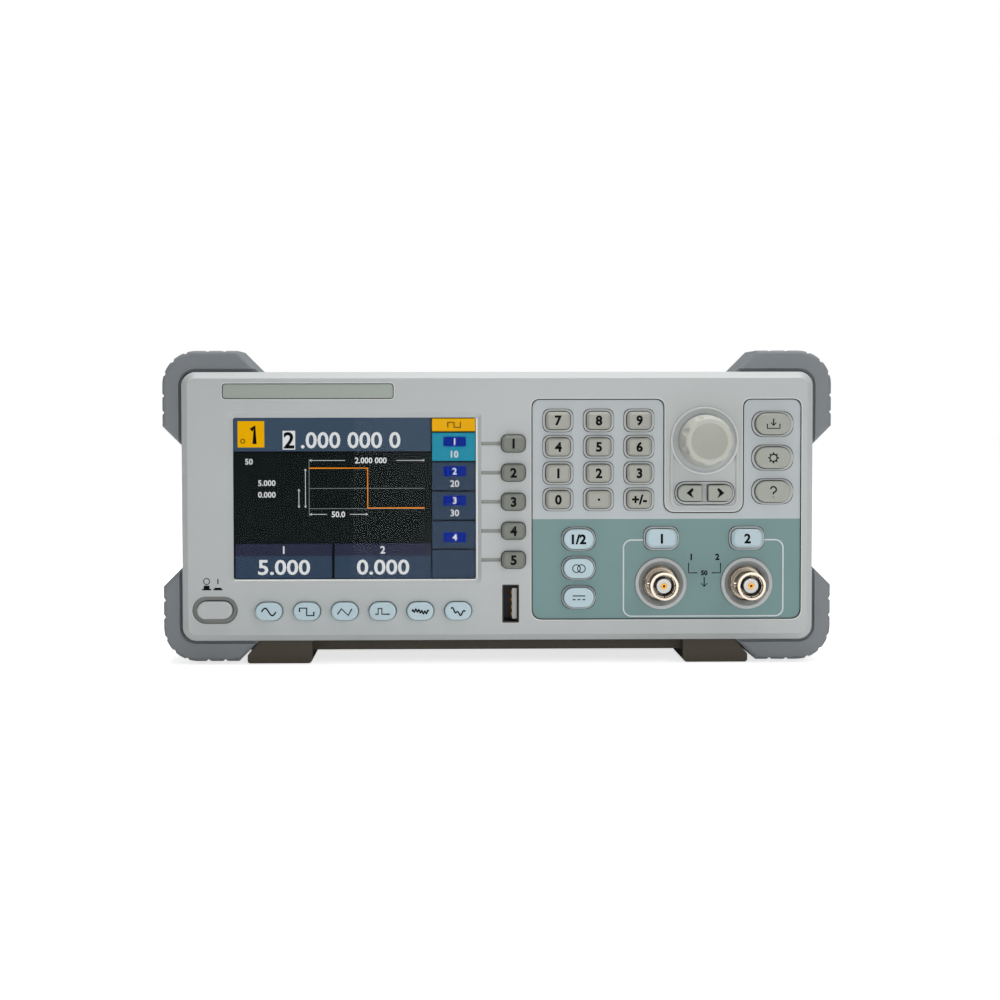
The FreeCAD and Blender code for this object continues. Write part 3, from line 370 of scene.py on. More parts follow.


# %% [markdown]
# Metal is told by its sharp highlights. Nickel has a bright, slightly uneven gloss; stamped steel and
# zinc-plated screws are rougher. Every metal is darkened in its recesses, which is painted shade.

# %% Metals
def metal(name, colour, roughness, grain=900.0, bump=0.05):
    material = bpy.data.materials.new(name)
    material.use_nodes = True
    tree = material.node_tree
    shader = tree.nodes["Principled BSDF"]
    shader.inputs["Metallic"].default_value = 1.0
    place = tree.nodes.new("ShaderNodeTexCoord")
    grained = tree.nodes.new("ShaderNodeGroup")
    grained.node_tree = grain_group
    grained.inputs["Grain per metre"].default_value = grain
    grained.inputs["Clouds per metre"].default_value = 160.0
    tree.links.new(place.outputs["Object"], grained.inputs["Place"])
    tone = mix_colours(tree, grained.outputs["Cloud"], shade(colour, 0.8), shade(colour, 1.1))
    worn_and_shaded = tree.nodes.new("ShaderNodeGroup")
    worn_and_shaded.node_tree = edge_group
    worn_and_shaded.inputs["Edge Width"].default_value = 0.0002
    worn_and_shaded.inputs["Corner Reach"].default_value = 0.004
    # Recesses fade almost to black: painted shade.
    recess_shaded = mix_colours(tree, worn_and_shaded.outputs["Corner"], tone, shade(colour, 0.06))
    tree.links.new(recess_shaded, shader.inputs["Base Color"])
    tree.links.new(scaled(tree, grained.outputs["Cloud"], roughness * 0.6, roughness * 1.5),
                   shader.inputs["Roughness"])
    relief = tree.nodes.new("ShaderNodeBump")
    relief.inputs["Strength"].default_value = bump
    relief.inputs["Distance"].default_value = 0.0001
    tree.links.new(grained.outputs["Height"], relief.inputs["Height"])
    tree.links.new(relief.outputs["Normal"], shader.inputs["Normal"])
    return material


nickel = metal("bright_nickel", card(196, 184, 168), 0.12)
steel = metal("zinc_steel", card(190, 188, 182), 0.32)
gold = metal("contact_gold", card(212, 150, 60), 0.2)
can_metal = metal("pressed_can", card(188, 190, 192), 0.38)
dielectric = moulded("socket_insulator", card(238, 238, 236), roughness=0.35, bump=0.03, corner=0.8)
print("metals", [m.name for m in (nickel, steel, gold, can_metal)])

# %% [markdown]
# Circuit boards are green lacquer over copper tracks. The joints of a fine brick pattern read as
# tracks through the lacquer. The display's window is clear glass, and the panel behind it is
# nearly black until the picture is laid on it.

# %% Boards, window and panel
board_green = moulded("board_green", card(28, 88, 52), roughness=0.3, bump=0.1, edge=1.2)


def add_tracks(material, track_colour):
    tree = material.node_tree
    shader = tree.nodes["Principled BSDF"]
    lacquer = shader.inputs["Base Color"].links[0].from_socket
    place = next(node for node in tree.nodes if node.type == "TEX_COORD")
    tracks = tree.nodes.new("ShaderNodeTexBrick")
    tracks.inputs["Scale"].default_value = 160.0
    tracks.inputs["Mortar Size"].default_value = 0.03
    tree.links.new(place.outputs["Object"], tracks.inputs["Vector"])
    tree.links.new(mix_colours(tree, tracks.outputs["Fac"], lacquer, track_colour),
                   shader.inputs["Base Color"])


add_tracks(board_green, card(52, 120, 74))
window_glass = bpy.data.materials.new("window_glass")
window_glass.use_nodes = True
glass_shader = window_glass.node_tree.nodes["Principled BSDF"]
glass_shader.inputs["Transmission Weight"].default_value = 1.0
glass_shader.inputs["Roughness"].default_value = 0.03
glass_shader.inputs["IOR"].default_value = 1.12
screen_black = moulded("screen_black", card(14, 20, 22), roughness=0.3, bump=0.0, corner=1.0, edge=1.0)
print("display finishes ready")

# %% [markdown]
# Each construction piece keeps its shape and only receives a finish. A table of names is the
# clearest way to hand them out, and any piece left without one would show at once.

# %% Dress the construction pieces
FINISHES = {
    "front_bezel": bezel_grey, "control_overlay": overlay_print, "display_window": window_glass,
    "lcd_module": screen_black, "name_strip": strip_grey, "keypad_mat": mat_silicone,
    "key_board": board_green, "encoder_body": can_metal, "encoder_shaft": steel,
    "tuning_knob": knob_grey, "usb_host_socket": connector_black, "power_switch": connector_black,
    "power_button": bezel_grey, "output_sockets": nickel, "top_cover": cover_light,
    "bottom_cover": cover_dark, "rear_panel": rear_paint, "front_bumpers": bumper_grey,
    "rear_bumpers": bumper_grey, "tilt_leg_left": foot_brown, "tilt_leg_right": foot_brown,
    "main_board": board_green, "power_supply": board_green, "mains_inlet": connector_black,
    "rear_sockets": nickel, "rear_feet": pad_rubber, "screws": steel,
}
KEY_PAINTS = (("wave_key", key_blue), ("channel_select", key_blue), ("both_channels", key_blue),
              ("dc_key", key_blue), ("output_key", key_blue), ("soft_key", soft_grey),
              ("arrow_key", menu_grey), ("save_key", menu_grey), ("utility_key", menu_grey),
              ("help_key", menu_grey), ("digit_key", key_grey))
for name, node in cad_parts.items():
    paint = next((finish for start, finish in KEY_PAINTS if name.startswith(start)), bezel_grey)
    finish = FINISHES.get(name, paint)
    node.data.materials.clear()
    node.data.materials.append(finish)
print("dressed", len(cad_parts), "pieces")

# %% [markdown]
# The bottom cover's two foot blocks are moulded with its plate, yet their faces get the lighter, warmer
# brown finish of the tilt legs: a lit copy of the plate's colour, which is painted light. A face belongs to
# a block when all its corners do, because the plate's own faces are long and cross under the blocks.

# %% Painted light on the foot blocks
FOOT_X, FOOT_WIDTH, FOOT_TOP = 76.9, 22.8, 8.5
FOOT_NEAR, FOOT_FAR = 6.0, 41.0
SLACK = 0.1


def in_foot_block(corner):
    """Whether a point in metres lies in the box of a foot block, left or right."""
    across = abs(abs(corner.x / MM) - FOOT_X)
    depth = (corner.y - FACE_Y) / MM
    inside = across < FOOT_WIDTH / 2 + SLACK and FOOT_NEAR - SLACK < depth < FOOT_FAR + SLACK
    return inside and corner.z / MM < FOOT_TOP


cover_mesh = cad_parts["bottom_cover"].data
cover_mesh.materials.append(foot_brown)
foot_faces = 0
for face in cover_mesh.polygons:
    # Faces of the blocks take the lighter finish: painted light.
    if all(in_foot_block(cover_mesh.vertices[i].co) for i in face.vertices):
        face.material_index = 1
        foot_faces += 1
print("foot faces", foot_faces)

# %% [markdown]
# A BNC socket is nickel outside, with a white insulator round a gold contact inside. The node is
# one mesh, so its faces are sorted by their distance from the socket's axis and given their own
# finish; the mesh itself isn't touched.

# %% Sort the faces of the sockets
INSULATOR_RADIUS = 2.52 * MM
CONTACT_RADIUS = 1.07 * MM


def sort_socket_faces(name, axes, front_limit):
    """Faces near an axis become insulator or contact; axes are (x, z) in metres."""
    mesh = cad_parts[name].data
    mesh.materials.append(dielectric)
    mesh.materials.append(gold)
    changed = 0
    for face in mesh.polygons:
        reach = max(min(math.hypot(mesh.vertices[i].co.x - x, mesh.vertices[i].co.z - z) for x, z in axes)
                    for i in face.vertices)
        if reach < INSULATOR_RADIUS and front_limit(face.center.y):
            face.material_index = 2 if reach < CONTACT_RADIUS else 1
            changed += 1
    print(name, "inner faces", changed)


OUTPUTS = ((57.0, -27.2), (87.2, -27.2))
sort_socket_faces("output_sockets", [(PANEL_X + x * MM, PANEL_Z + z * MM) for x, z in OUTPUTS],
                  lambda y: y < FACE_Y)
REAR_JACKS = (-80.0, -58.0, -36.0)
rear_low, rear_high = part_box("rear_sockets")
REAR_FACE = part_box("rear_panel")[1].y
REAR_JACK_Z = (rear_low.z + rear_high.z) / 2
sort_socket_faces("rear_sockets", [(x * MM, REAR_JACK_Z) for x in REAR_JACKS], lambda y: y > REAR_FACE)

# %% [markdown]
# The well round the power button and the five short grooves beside the display are cut into the bezel, and
# their faces take a darker grey as painted shade. A well is given by its middle and half its size. The
# finger dish of the tuning knob is painted a little darker than its rim, as painted shade in its hollow.

# %% Shade the grooves and the dish
POWER_X, POWER_Z = node_middle("power_button")[:2]
SOFT_ROWS = [node_middle("soft_key_" + str(row))[1] for row in range(1, 6)]
GROOVE_X = -2.6
WELL_NEAR, WELL_FAR = 0.05, 1.6
WELLS = [(POWER_X, POWER_Z, 8.1, 5.0)] + [(GROOVE_X, row, 3.5, 0.8) for row in SOFT_ROWS]
# Recessed faces of the wells and grooves get a darker grey: painted shade.
groove_painted_shade = moulded("groove_painted_shade", card(158, 160, 157), roughness=0.55, bump=0.1, corner=0.3)
bezel_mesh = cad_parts["front_bezel"].data
bezel_mesh.materials.append(groove_painted_shade)
shaded = 0
for face in bezel_mesh.polygons:
    x = (face.center.x - PANEL_X) / MM
    z = (face.center.z - PANEL_Z) / MM
    depth = (face.center.y - FACE_Y) / MM
    near_well = any(abs(x - wx) < half_x and abs(z - wz) < half_z for wx, wz, half_x, half_z in WELLS)
    if near_well and WELL_NEAR < depth < WELL_FAR:
        face.material_index = 1
        shaded += 1
KNOB_X, KNOB_Z, KNOB_NOSE = node_middle("tuning_knob")
DISH_RADIUS = 6.4
DISH_DEPTH = 1.5
# The hollow dish of the knob gets a darker grey: painted shade.
dish_painted_shade = moulded("dish_painted_shade", card(174, 175, 165), roughness=0.6, bump=0.2)
knob_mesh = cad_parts["tuning_knob"].data
knob_mesh.materials.append(dish_painted_shade)
for face in knob_mesh.polygons:
    reach = max(math.hypot((knob_mesh.vertices[i].co.x - PANEL_X) / MM - KNOB_X,
                           (knob_mesh.vertices[i].co.z - PANEL_Z) / MM - KNOB_Z) for i in face.vertices)
    nose_depth = (face.center.y - FACE_Y) / MM - KNOB_NOSE
    if reach < DISH_RADIUS and nose_depth < DISH_DEPTH:
        face.material_index = 1
print("groove faces", shaded, "knob axis", round(KNOB_X, 1), round(KNOB_Z, 1))

# %% [markdown]
# Legends are printed in black on the key caps. Blender's own font, thickened a little, gives a
# plain bold face. Each one is made a mesh, turned upright, centred on its cap and applied, so its
# object ends at the origin, and it rides with its key.

# %% Ink and legends
def ink(name, colour, roughness=0.6):
    """Printed ink, or a flat line of painted shade or highlight: nearly flat colour that thins out slightly
    in soft clouds.
    """
    return moulded(name, colour, roughness=roughness, bump=0.03, clouds=900.0, tone=0.10,
                   edge=1.0, corner=1.0, Specular_IOR_Level=0.1)


black_ink = ink("black_ink", card(5, 5, 6))
white_ink = ink("white_ink", card(226, 230, 230))
INK_LIFT = 0.02


def settle(item, name, finish, body):
    """Applies the place, names the piece, gives it its finish and lets it ride."""
    bpy.ops.object.select_all(action="DESELECT")
    item.select_set(True)
    bpy.context.view_layer.objects.active = item
    bpy.ops.object.transform_apply(location=True, rotation=True, scale=True)
    item.name = name
    item.data.name = name
    item.data.materials.clear()
    item.data.materials.append(finish)
    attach(item, body)
    return item


def legend(name, text, x, z, size, depth, finish, body, weight=0.05, stretch=1.0):
    """Upright text centred on a panel point; size and weight in millimetres."""
    bpy.ops.object.select_all(action="DESELECT")
    bpy.ops.object.text_add(location=(0, 0, 0))
    words = bpy.context.object
    words.data.body = text
    words.data.size = size * MM
    words.data.offset = weight * MM
    words.data.extrude = INK_LIFT * MM
    words.data.resolution_u = 3
    bpy.ops.object.convert(target="MESH")
    words = bpy.context.object
    xs = [vertex.co.x for vertex in words.data.vertices]
    ys = [vertex.co.y for vertex in words.data.vertices]
    shift_x = (min(xs) + max(xs)) / 2 * stretch
    shift_y = (min(ys) + max(ys)) / 2
    words.scale = (stretch, 1.0, 1.0)
    words.rotation_euler = (math.pi / 2, 0.0, 0.0)
    words.location = on_panel(x, z, depth) + Vector((-shift_x, 0.0, -shift_y))
    return settle(words, name, finish, body)


KEY_WORDS = {"digit_key_point": ".", "digit_key_sign": "+/-", "channel_select_key": "1/2",
             "output_key_1": "1", "output_key_2": "2"}
for digit in range(10):
    KEY_WORDS["digit_key_" + str(digit)] = str(digit)
for number in range(1, 6):
    KEY_WORDS["soft_key_" + str(number)] = str(number)
LEGEND_SIZE = 4.5
LEGEND_WEIGHT = 0.18
for key, text in KEY_WORDS.items():
    key_x, key_z, cap_face = node_middle(key)
    legend(key + "_legend", text, key_x, key_z, LEGEND_SIZE, cap_face, black_ink, key, weight=LEGEND_WEIGHT)
print("legends", len(KEY_WORDS))

# %% [markdown]
# Symbols are drawn as lines of ink. A curve with a round bevel is a quick pen; made a mesh and
# flattened against the surface it becomes a thin printed stroke. A key's mark is given by points
# in millimetres about the middle of its cap.

# %% Ink lines
FLATTEN = 0.12


def ink_line(name, strokes, x, z, depth, width, finish, body, closed=False):
    """Strokes of (x, z) points, drawn flat on the panel round a centre point."""
    curve = bpy.data.curves.new(name, "CURVE")
    curve.dimensions = "3D"
    curve.bevel_depth = width / 2 * MM
    curve.bevel_resolution = 1
    for points in strokes:
        spline = curve.splines.new("POLY")
        spline.points.add(len(points) - 1)
        spline.use_cyclic_u = closed
        for point, (px, pz) in zip(spline.points, points):
            point.co = (px * MM, 0.0, pz * MM, 1.0)
    line = bpy.data.objects.new(name, curve)
    bpy.context.collection.objects.link(line)
    bpy.ops.object.select_all(action="DESELECT")
    line.select_set(True)
    bpy.context.view_layer.objects.active = line
    bpy.ops.object.convert(target="MESH")
    line = bpy.context.object
    line.scale = (1.0, FLATTEN, 1.0)
    line.location = on_panel(x, z, depth)
    return settle(line, name, finish, body)


def key_mark(name, key, strokes, width):
    """Black strokes about the middle of a key's cap, which ride with the key."""
    key_x, key_z, cap_face = node_middle(key)
    ink_line(name, strokes, key_x, key_z, cap_face, width, black_ink, key)


def arc_points(cx, cz, radius, start, end, steps=20):
    """Points of an arc, with the angles in degrees."""
    turns = [math.radians(start + (end - start) * step / steps) for step in range(steps + 1)]
    return [(cx + radius * math.cos(turn), cz + radius * math.sin(turn)) for turn in turns]


def wave_strokes():
    """One trace for each wave key, all about five millimetres wide."""
    half = 2.5
    high = 1.3
    steps = [step / 32 for step in range(33)]
    sine = [(-half + 2 * half * t, high * math.sin(2 * math.pi * t)) for t in steps]
    square = [(-half, 0.0), (-half, high), (0.0, high), (0.0, -high), (half, -high), (half, 0.0)]
    ramp = [(-half, -0.9), (-1.1, 1.0), (1.3, -1.3), (half, 1.0)]
    pulse = [(-half, -0.9), (-1.5, -0.9), (-1.5, 1.1), (-0.2, 1.1), (-0.2, -0.9), (half, -0.9)]
    noise = [(-2.9 + 5.8 * t, 0.35 * math.sin(2 * math.pi * t) + 0.6 * math.sin(11 * math.pi * t))
             for t in steps]
    burst = [(-half + 2 * half * t, 0.9 * math.cos(1.6 * math.pi * t) + 0.55 * math.sin(5.2 * math.pi * t))
             for t in steps]
    return {"sine": sine, "square": square, "ramp": ramp, "pulse": pulse, "noise": noise,
            "arbitrary": burst}


traces = wave_strokes()
for wave, trace in traces.items():
    key_mark("wave_key_" + wave + "_trace", "wave_key_" + wave, [trace], 0.56)
print("wave traces", len(traces))

# %% [markdown]
# The arrow keys carry a solid chevron, and the menu keys plain pictures: a tray with an arrow for
# saving, a cog for settings and a question mark for help. The both-channels key has two linked
# circles, and the DC key a line over dashes.

# %% Arrow and menu symbols
for side, key in ((-1, "arrow_key_left"), (1, "arrow_key_right")):
    back, tip, notch = -0.9 * side, 0.9 * side, 0.1 * side
    chevron = [(back, 1.5), (tip, 0.0), (back, -1.5), (notch, 0.0), (back, 1.5)]
    key_mark(key + "_mark", key, [chevron], 1.0)
tray = [(-2.2, 0.1), (-2.2, -1.5), (2.2, -1.5), (2.2, 0.1)]
arrow = [[(0.0, 1.9), (0.0, -0.5)], [(-0.9, 0.5), (0.0, -0.5), (0.9, 0.5)]]
key_mark("save_key_mark", "save_key", [tray] + arrow, 0.45)
teeth = []
for step in range(8):
    turn = math.radians(45 * step)
    teeth.append([(reach * math.cos(turn), reach * math.sin(turn)) for reach in (1.3, 1.9)])
key_mark("utility_key_mark", "utility_key", [arc_points(0, 0, 1.25, 0, 360)] + teeth, 0.5)
hook = arc_points(0.0, 0.75, 1.0, 170, -50, 14) + [(0.0, -0.35), (0.0, -0.9)]
key_mark("help_key_mark", "help_key", [hook, [(0.0, -1.75), (0.0, -1.95)]], 0.6)
circles = [arc_points(-0.85, 0, 1.35, 0, 360), arc_points(0.85, 0, 1.35, 0, 360)]
key_mark("both_channels_mark", "both_channels_key", circles, 0.38)
dc_lines = [[(-2.2, 0.65), (2.2, 0.65)]]
dc_lines += [[(start, -0.65), (start + 1.0, -0.65)] for start in (-2.2, -0.5, 1.2)]
key_mark("dc_mark", "dc_key", dc_lines, 0.45)
print("cog teeth", len(teeth), "dashes", len(dc_lines) - 1)

# %% [markdown]
# The green field is printed with a pale frame round both outputs that stops at the two output
# keys, and with a small bracket and ground arrow between the sockets.

# %% Printed lines on the overlay
FRAME_LEFT, FRAME_RIGHT = 43.9, 100.0
FRAME_LOW, FRAME_HIGH = -38.7, -11.9
FRAME_CORNER = 2.8
KEY_HALF = 6.3
left_key = node_middle("output_key_1")[0]
right_key = node_middle("output_key_2")[0]
turn_left, turn_right = FRAME_LEFT + FRAME_CORNER, FRAME_RIGHT - FRAME_CORNER
turn_low, turn_high = FRAME_LOW + FRAME_CORNER, FRAME_HIGH - FRAME_CORNER
outline = [(left_key - KEY_HALF, FRAME_HIGH)]
for turn_x, turn_z, start in ((turn_left, turn_high, 90), (turn_left, turn_low, 180),
                              (turn_right, turn_low, 270), (turn_right, turn_high, 0)):
    outline += arc_points(turn_x, turn_z, FRAME_CORNER, start, start + 90, 8)
outline.append((right_key + KEY_HALF, FRAME_HIGH))
ink_line("output_frame", [outline], 0, 0, OVERLAY_DEPTH, 0.55, white_ink, "case")
BRACKET_X = 72.3
LABEL_Z = -17.9
bracket = [[(66.8, -20.0), (66.8, -23.5), (69.8, -23.5)], [(78.0, -20.0), (78.0, -23.5), (74.9, -23.5)],
           [(BRACKET_X, -25.0), (BRACKET_X, -28.2)], [(71.2, -27.2), (BRACKET_X, -28.3), (73.4, -27.2)]]
ink_line("output_bracket", bracket, 0, 0, OVERLAY_DEPTH, 0.38, black_ink, "case")
legend("output_label_1", "1", 67.7, LABEL_Z, 2.9, OVERLAY_DEPTH, black_ink, "case", weight=0.13)
legend("output_label_2", "2", 76.9, LABEL_Z, 2.9, OVERLAY_DEPTH, black_ink, "case", weight=0.13)
legend("output_load", "50", BRACKET_X, -23.5, 2.3, OVERLAY_DEPTH, black_ink, "case", weight=0.1)
print("frame line", FRAME_RIGHT - FRAME_LEFT, "mm wide")

# %% [markdown]
# Every raised collar stands in a cut-out of the overlay with a fine seam round it, and the overlay's own
# edge lies a little below the bezel. A dark line of painted shade marks each seam, and a pale line of
# painted highlight the rounded lip of the bezel outside it; the ridge round the knob's island gets the same
# painted highlight. The slope round the display catches the light on its right and lower sides, where a
# brighter painted highlight follows its inner edge.

# %% Painted shade in seams and painted highlights on lips
# A dark ink for painted shade in the seams, and pale inks for painted highlights on lips and rims.
seam_painted_shade = ink("seam_painted_shade", card(58, 60, 60))
lip_painted_highlight = ink("lip_painted_highlight", card(222, 225, 223))
bright_lip_painted_highlight = ink("bright_lip_painted_highlight", card(248, 249, 248))


def rounded_path(corners, steps=6):
    """Closed path through corners given as (x, z, radius)."""
    path = []
    for index, (x, z, radius) in enumerate(corners):
        ends = []
        for other in (corners[index - 1], corners[(index + 1) % len(corners)]):
            reach = math.hypot(other[0] - x, other[1] - z)
            ends.append((x + (other[0] - x) * radius / reach, z + (other[1] - z) * radius / reach))
        for step in range(steps + 1):
            t = step / steps
            weights = ((1 - t) ** 2, 2 * t * (1 - t), t * t)
            points = (ends[0], (x, z), ends[1])
            path.append((sum(w * point[0] for w, point in zip(weights, points)),
                         sum(w * point[1] for w, point in zip(weights, points))))
    return path


def block_corners(x, z, width, height, radius):
    return [(x - width / 2, z - height / 2, radius), (x + width / 2, z - height / 2, radius),
            (x + width / 2, z + height / 2, radius), (x - width / 2, z + height / 2, radius)]


def overlay_corners(grow):
    left, right, low, high = 11.8 - grow, 106.1 + grow, -39.6 - grow, 37.4 + grow
    notch_left, notch_right, notch_low = 58.0 + grow, 85.9 - grow, -2.3 + grow
    return [(left, low, 3.6), (right, low, 3.6), (right, high, 3.0), (notch_right, high, 3.0),
            (notch_right, notch_low, 4.0), (notch_left, notch_low, 4.0), (notch_left, high, 3.0),
            (left, high, 3.0)]


DIGIT_COLLAR = (10.45, 7.85, 2.6)
MENU_COLLAR = (14.5, 8.8, 4.4)
CHANNEL_COLLAR = (11.9, 8.1, 4.0)
OUTPUT_COLLAR = (12.25, 8.15, 3.2)
SEAM_ROOM = 0.15
COLLARS = {"digit_key": DIGIT_COLLAR, "save_key": MENU_COLLAR, "utility_key": MENU_COLLAR,
           "help_key": MENU_COLLAR, "channel_select": CHANNEL_COLLAR, "both_channels": CHANNEL_COLLAR,
           "dc_key": CHANNEL_COLLAR, "output_key": OUTPUT_COLLAR}
seams = []
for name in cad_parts:
    collar = next((size for start, size in COLLARS.items() if name.startswith(start)), None)
    if collar:
        width, height, corner = collar
        key_x, key_z = node_middle(name)[:2]
        corners = block_corners(key_x, key_z, width + SEAM_ROOM, height + SEAM_ROOM, corner)
        seams.append(rounded_path(corners))


def seam(name, paths, depth, width, finish):
    ink_line(name, paths, 0, 0, depth, width, finish, "case", closed=True)


# Dark lines of painted shade round every collar and along the overlay's edge.
seam("collar_seam_shade", seams, OVERLAY_DEPTH, 0.24, seam_painted_shade)
seam("overlay_seam_shade", [rounded_path(overlay_corners(0.0))], 0.0, 0.4, seam_painted_shade)
# Pale line of painted highlight on the bezel's lip outside the overlay.
seam("overlay_lip_highlight", [rounded_path(overlay_corners(0.35))], 0.0, 0.35, lip_painted_highlight)
ISLAND_X, RIDGE_Z, RIDGE_RADIUS, RIDGE_RISE = 72.3, 22.9, 11.6, 0.5
ridge = arc_points(ISLAND_X, RIDGE_Z, RIDGE_RADIUS, 0, 360, 72)
# Pale line of painted highlight along the ridge round the knob's island.
ink_line("island_ridge_highlight", [ridge], 0, 0, -RIDGE_RISE, 0.5, lip_painted_highlight, "case")
# Dark line of painted shade round the arrow keys' cut-out.
seam("arrow_seam_shade", [rounded_path(block_corners(ISLAND_X, 4.6, 20.9, 7.95, 3.95))], 0.0, 0.34, seam_painted_shade)
SCREEN_X, SCREEN_Z = -50.2, 2.8
SCREEN_WIDTH, SCREEN_HEIGHT = 84.8, 56.6
LIP_DEPTH = 1.15
lip_right, lip_left = SCREEN_X + SCREEN_WIDTH / 2 + 0.35, SCREEN_X - SCREEN_WIDTH / 2 + 0.4
lip_low, lip_high = SCREEN_Z - SCREEN_HEIGHT / 2 - 0.3, SCREEN_Z + SCREEN_HEIGHT / 2 - 0.3
display_edge = [(lip_right, lip_high), (lip_right, lip_low), (lip_left, lip_low)]
# Bright line of painted highlight along the right and lower inner edge of the display's slope.
ink_line("display_lip_highlight", [display_edge], 0, 0, LIP_DEPTH, 0.7, bright_lip_painted_highlight, "case")
STRIP_X, STRIP_Z = -66.3, 40.3
# Dark line of painted shade round the name strip.
seam("strip_seam_shade", [rounded_path(block_corners(STRIP_X, STRIP_Z, 59.5, 5.2, 1.2))], 0.0, 0.3, seam_painted_shade)
print("seams", len(seams))

# %% [markdown]
# Flat tiles make the display's picture and several small pieces, among them the painted highlight round the
# name strip. A plane is set at its size, its corner points are bevelled round, and an edit-mode extrude
# gives it a thickness towards the viewer.

# %% Tile helper
def tile(name, x, z, width, height, depth, thick, finish, body, radius=0.0, hollow=0.0):
    """Flat rounded tile facing forwards; hollow leaves only a rim of that width."""
    bpy.ops.object.select_all(action="DESELECT")
    bpy.ops.mesh.primitive_plane_add(size=1.0, location=(0, 0, 0))
    piece = bpy.context.object
    piece.scale = (width * MM, height * MM, 1.0)
    bpy.ops.object.transform_apply(location=True, rotation=True, scale=True)
    bpy.ops.object.mode_set(mode="EDIT")
    bpy.ops.mesh.select_all(action="SELECT")
    if radius:
        bpy.ops.mesh.bevel(offset=radius * MM, segments=6, affect="VERTICES")
    if hollow:
        bpy.ops.mesh.inset(thickness=hollow * MM)
        bpy.ops.mesh.delete(type="FACE")
        bpy.ops.mesh.select_all(action="SELECT")
    bpy.ops.mesh.extrude_region_move(TRANSFORM_OT_translate={"value": (0, 0, thick * MM)})
    bpy.ops.mesh.select_all(action="SELECT")
    bpy.ops.mesh.normals_make_consistent(inside=False)
    bpy.ops.object.mode_set(mode="OBJECT")
    piece.rotation_euler = (math.pi / 2, 0.0, 0.0)
    piece.location = on_panel(x, z, depth)
    return settle(piece, name, finish, body)


# Pale rim of painted highlight round the name strip.
rim = tile("name_strip_rim_highlight", STRIP_X, STRIP_Z, 60.4, 6.1, 0.02, 0.1, lip_painted_highlight, "case", radius=1.5, hollow=0.3)
print("strip rim faces", len(rim.data.polygons))

# %% [markdown]
# Above the power button stand the usual marks for off and on: a ring and a bar, each over a small
# picture of the button, out and in.

# %% Power marks
MARK_Z = POWER_Z + 10.1
off_x = POWER_X - 2.9
on_x = POWER_X + 1.05
ring = arc_points(off_x, MARK_Z, 1.05, 0, 360)
bar = [(on_x, MARK_Z + 0.85), (on_x, MARK_Z - 0.95)]
ink_line("power_off_mark", [ring], 0, 0, 0.0, 0.32, black_ink, "case")
ink_line("power_on_mark", [bar], 0, 0, 0.0, 0.42, black_ink, "case")
for name, x, drop, width, height, corner in (("power_out_base", off_x, 2.85, 3.2, 0.45, 0.0),
                                             ("power_out_cap", off_x, 2.1, 2.0, 1.25, 0.2),
                                             ("power_in_base", on_x, 2.85, 3.2, 0.45, 0.0),
                                             ("power_in_cap", on_x, 2.45, 2.3, 0.5, 0.15)):
    tile(name, x, MARK_Z - drop, width, height, 0.0, 0.03, black_ink, "case", radius=corner)
print("power marks at", round(POWER_X, 1))

# %% [markdown]
# The display shows a set-up screen: a header with the channel number and a long number, a trace
# of one square period, two value cells and a column of soft-key boxes. Every field is a tile or a
# line that gives off its own light, so it stays readable behind the window. The fields are stacked
# in thin layers, counted from the panel towards the viewer, so that none lies in another's plane.

# %% Lit inks
def lit(name, red, green, blue, power=1.0):
    """Display colour that gives off light, with the faint cell pattern of a panel."""
    material = bpy.data.materials.new(name)
    material.use_nodes = True
    tree = material.node_tree
    shader = tree.nodes["Principled BSDF"]
    colour = card(red, green, blue)
    place = tree.nodes.new("ShaderNodeTexCoord")
    cells = tree.nodes.new("ShaderNodeTexNoise")
    cells.inputs["Scale"].default_value = 60.0
    tree.links.new(place.outputs["Object"], cells.inputs["Vector"])
    glow = mix_colours(tree, cells.outputs["Fac"], shade(colour, 0.94), shade(colour, 1.06))
    tree.links.new(glow, shader.inputs["Emission Color"])
    shader.inputs["Emission Strength"].default_value = power
    shader.inputs["Base Color"].default_value = (0.0, 0.0, 0.0, 1.0)
    shader.inputs["Roughness"].default_value = 0.4
    shader.inputs["Specular IOR Level"].default_value = 0.05
    return material


SCREEN_LEFT, SCREEN_TOP = SCREEN_X - SCREEN_WIDTH / 2, SCREEN_Z + SCREEN_HEIGHT / 2
SCREEN_DEPTH = (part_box("lcd_module")[0].y - FACE_Y) / MM + 0.2
LAYER = 0.03
LIT = {
    "field": lit("lit_field", 16, 24, 24), "header": lit("lit_header", 63, 82, 102),
    "yellow": lit("lit_yellow", 248, 184, 0), "cyan": lit("lit_cyan", 32, 148, 176),
    "slate": lit("lit_slate", 52, 70, 92), "navy": lit("lit_navy", 0, 35, 150),
    "sub": lit("lit_sub", 45, 48, 70), "white": lit("lit_white", 235, 238, 240),
    "orange": lit("lit_orange", 255, 150, 30), "grey": lit("lit_grey", 130, 140, 140),
    "black": lit("lit_black", 6, 8, 10),
}


def screen_tile(name, left, top, right, bottom, colour, layer=1):
    """Tile given by its edges in millimetres from the picture's top left corner."""
    x = SCREEN_LEFT + (left + right) / 2
    z = SCREEN_TOP - (top + bottom) / 2
    depth = SCREEN_DEPTH - layer * LAYER
    return tile("picture_" + name, x, z, right - left, bottom - top, depth, LAYER, LIT[colour], "case")


def screen_text(name, text, left, top, height, colour, layer=3, weight=0.04, stretch=1.0):
    """Text whose middle is at a point measured from the picture's top left corner."""
    legend("picture_" + name, text, SCREEN_LEFT + left, SCREEN_TOP - top, height * 1.4,
           SCREEN_DEPTH - layer * LAYER, LIT[colour], "case", weight=weight, stretch=stretch)


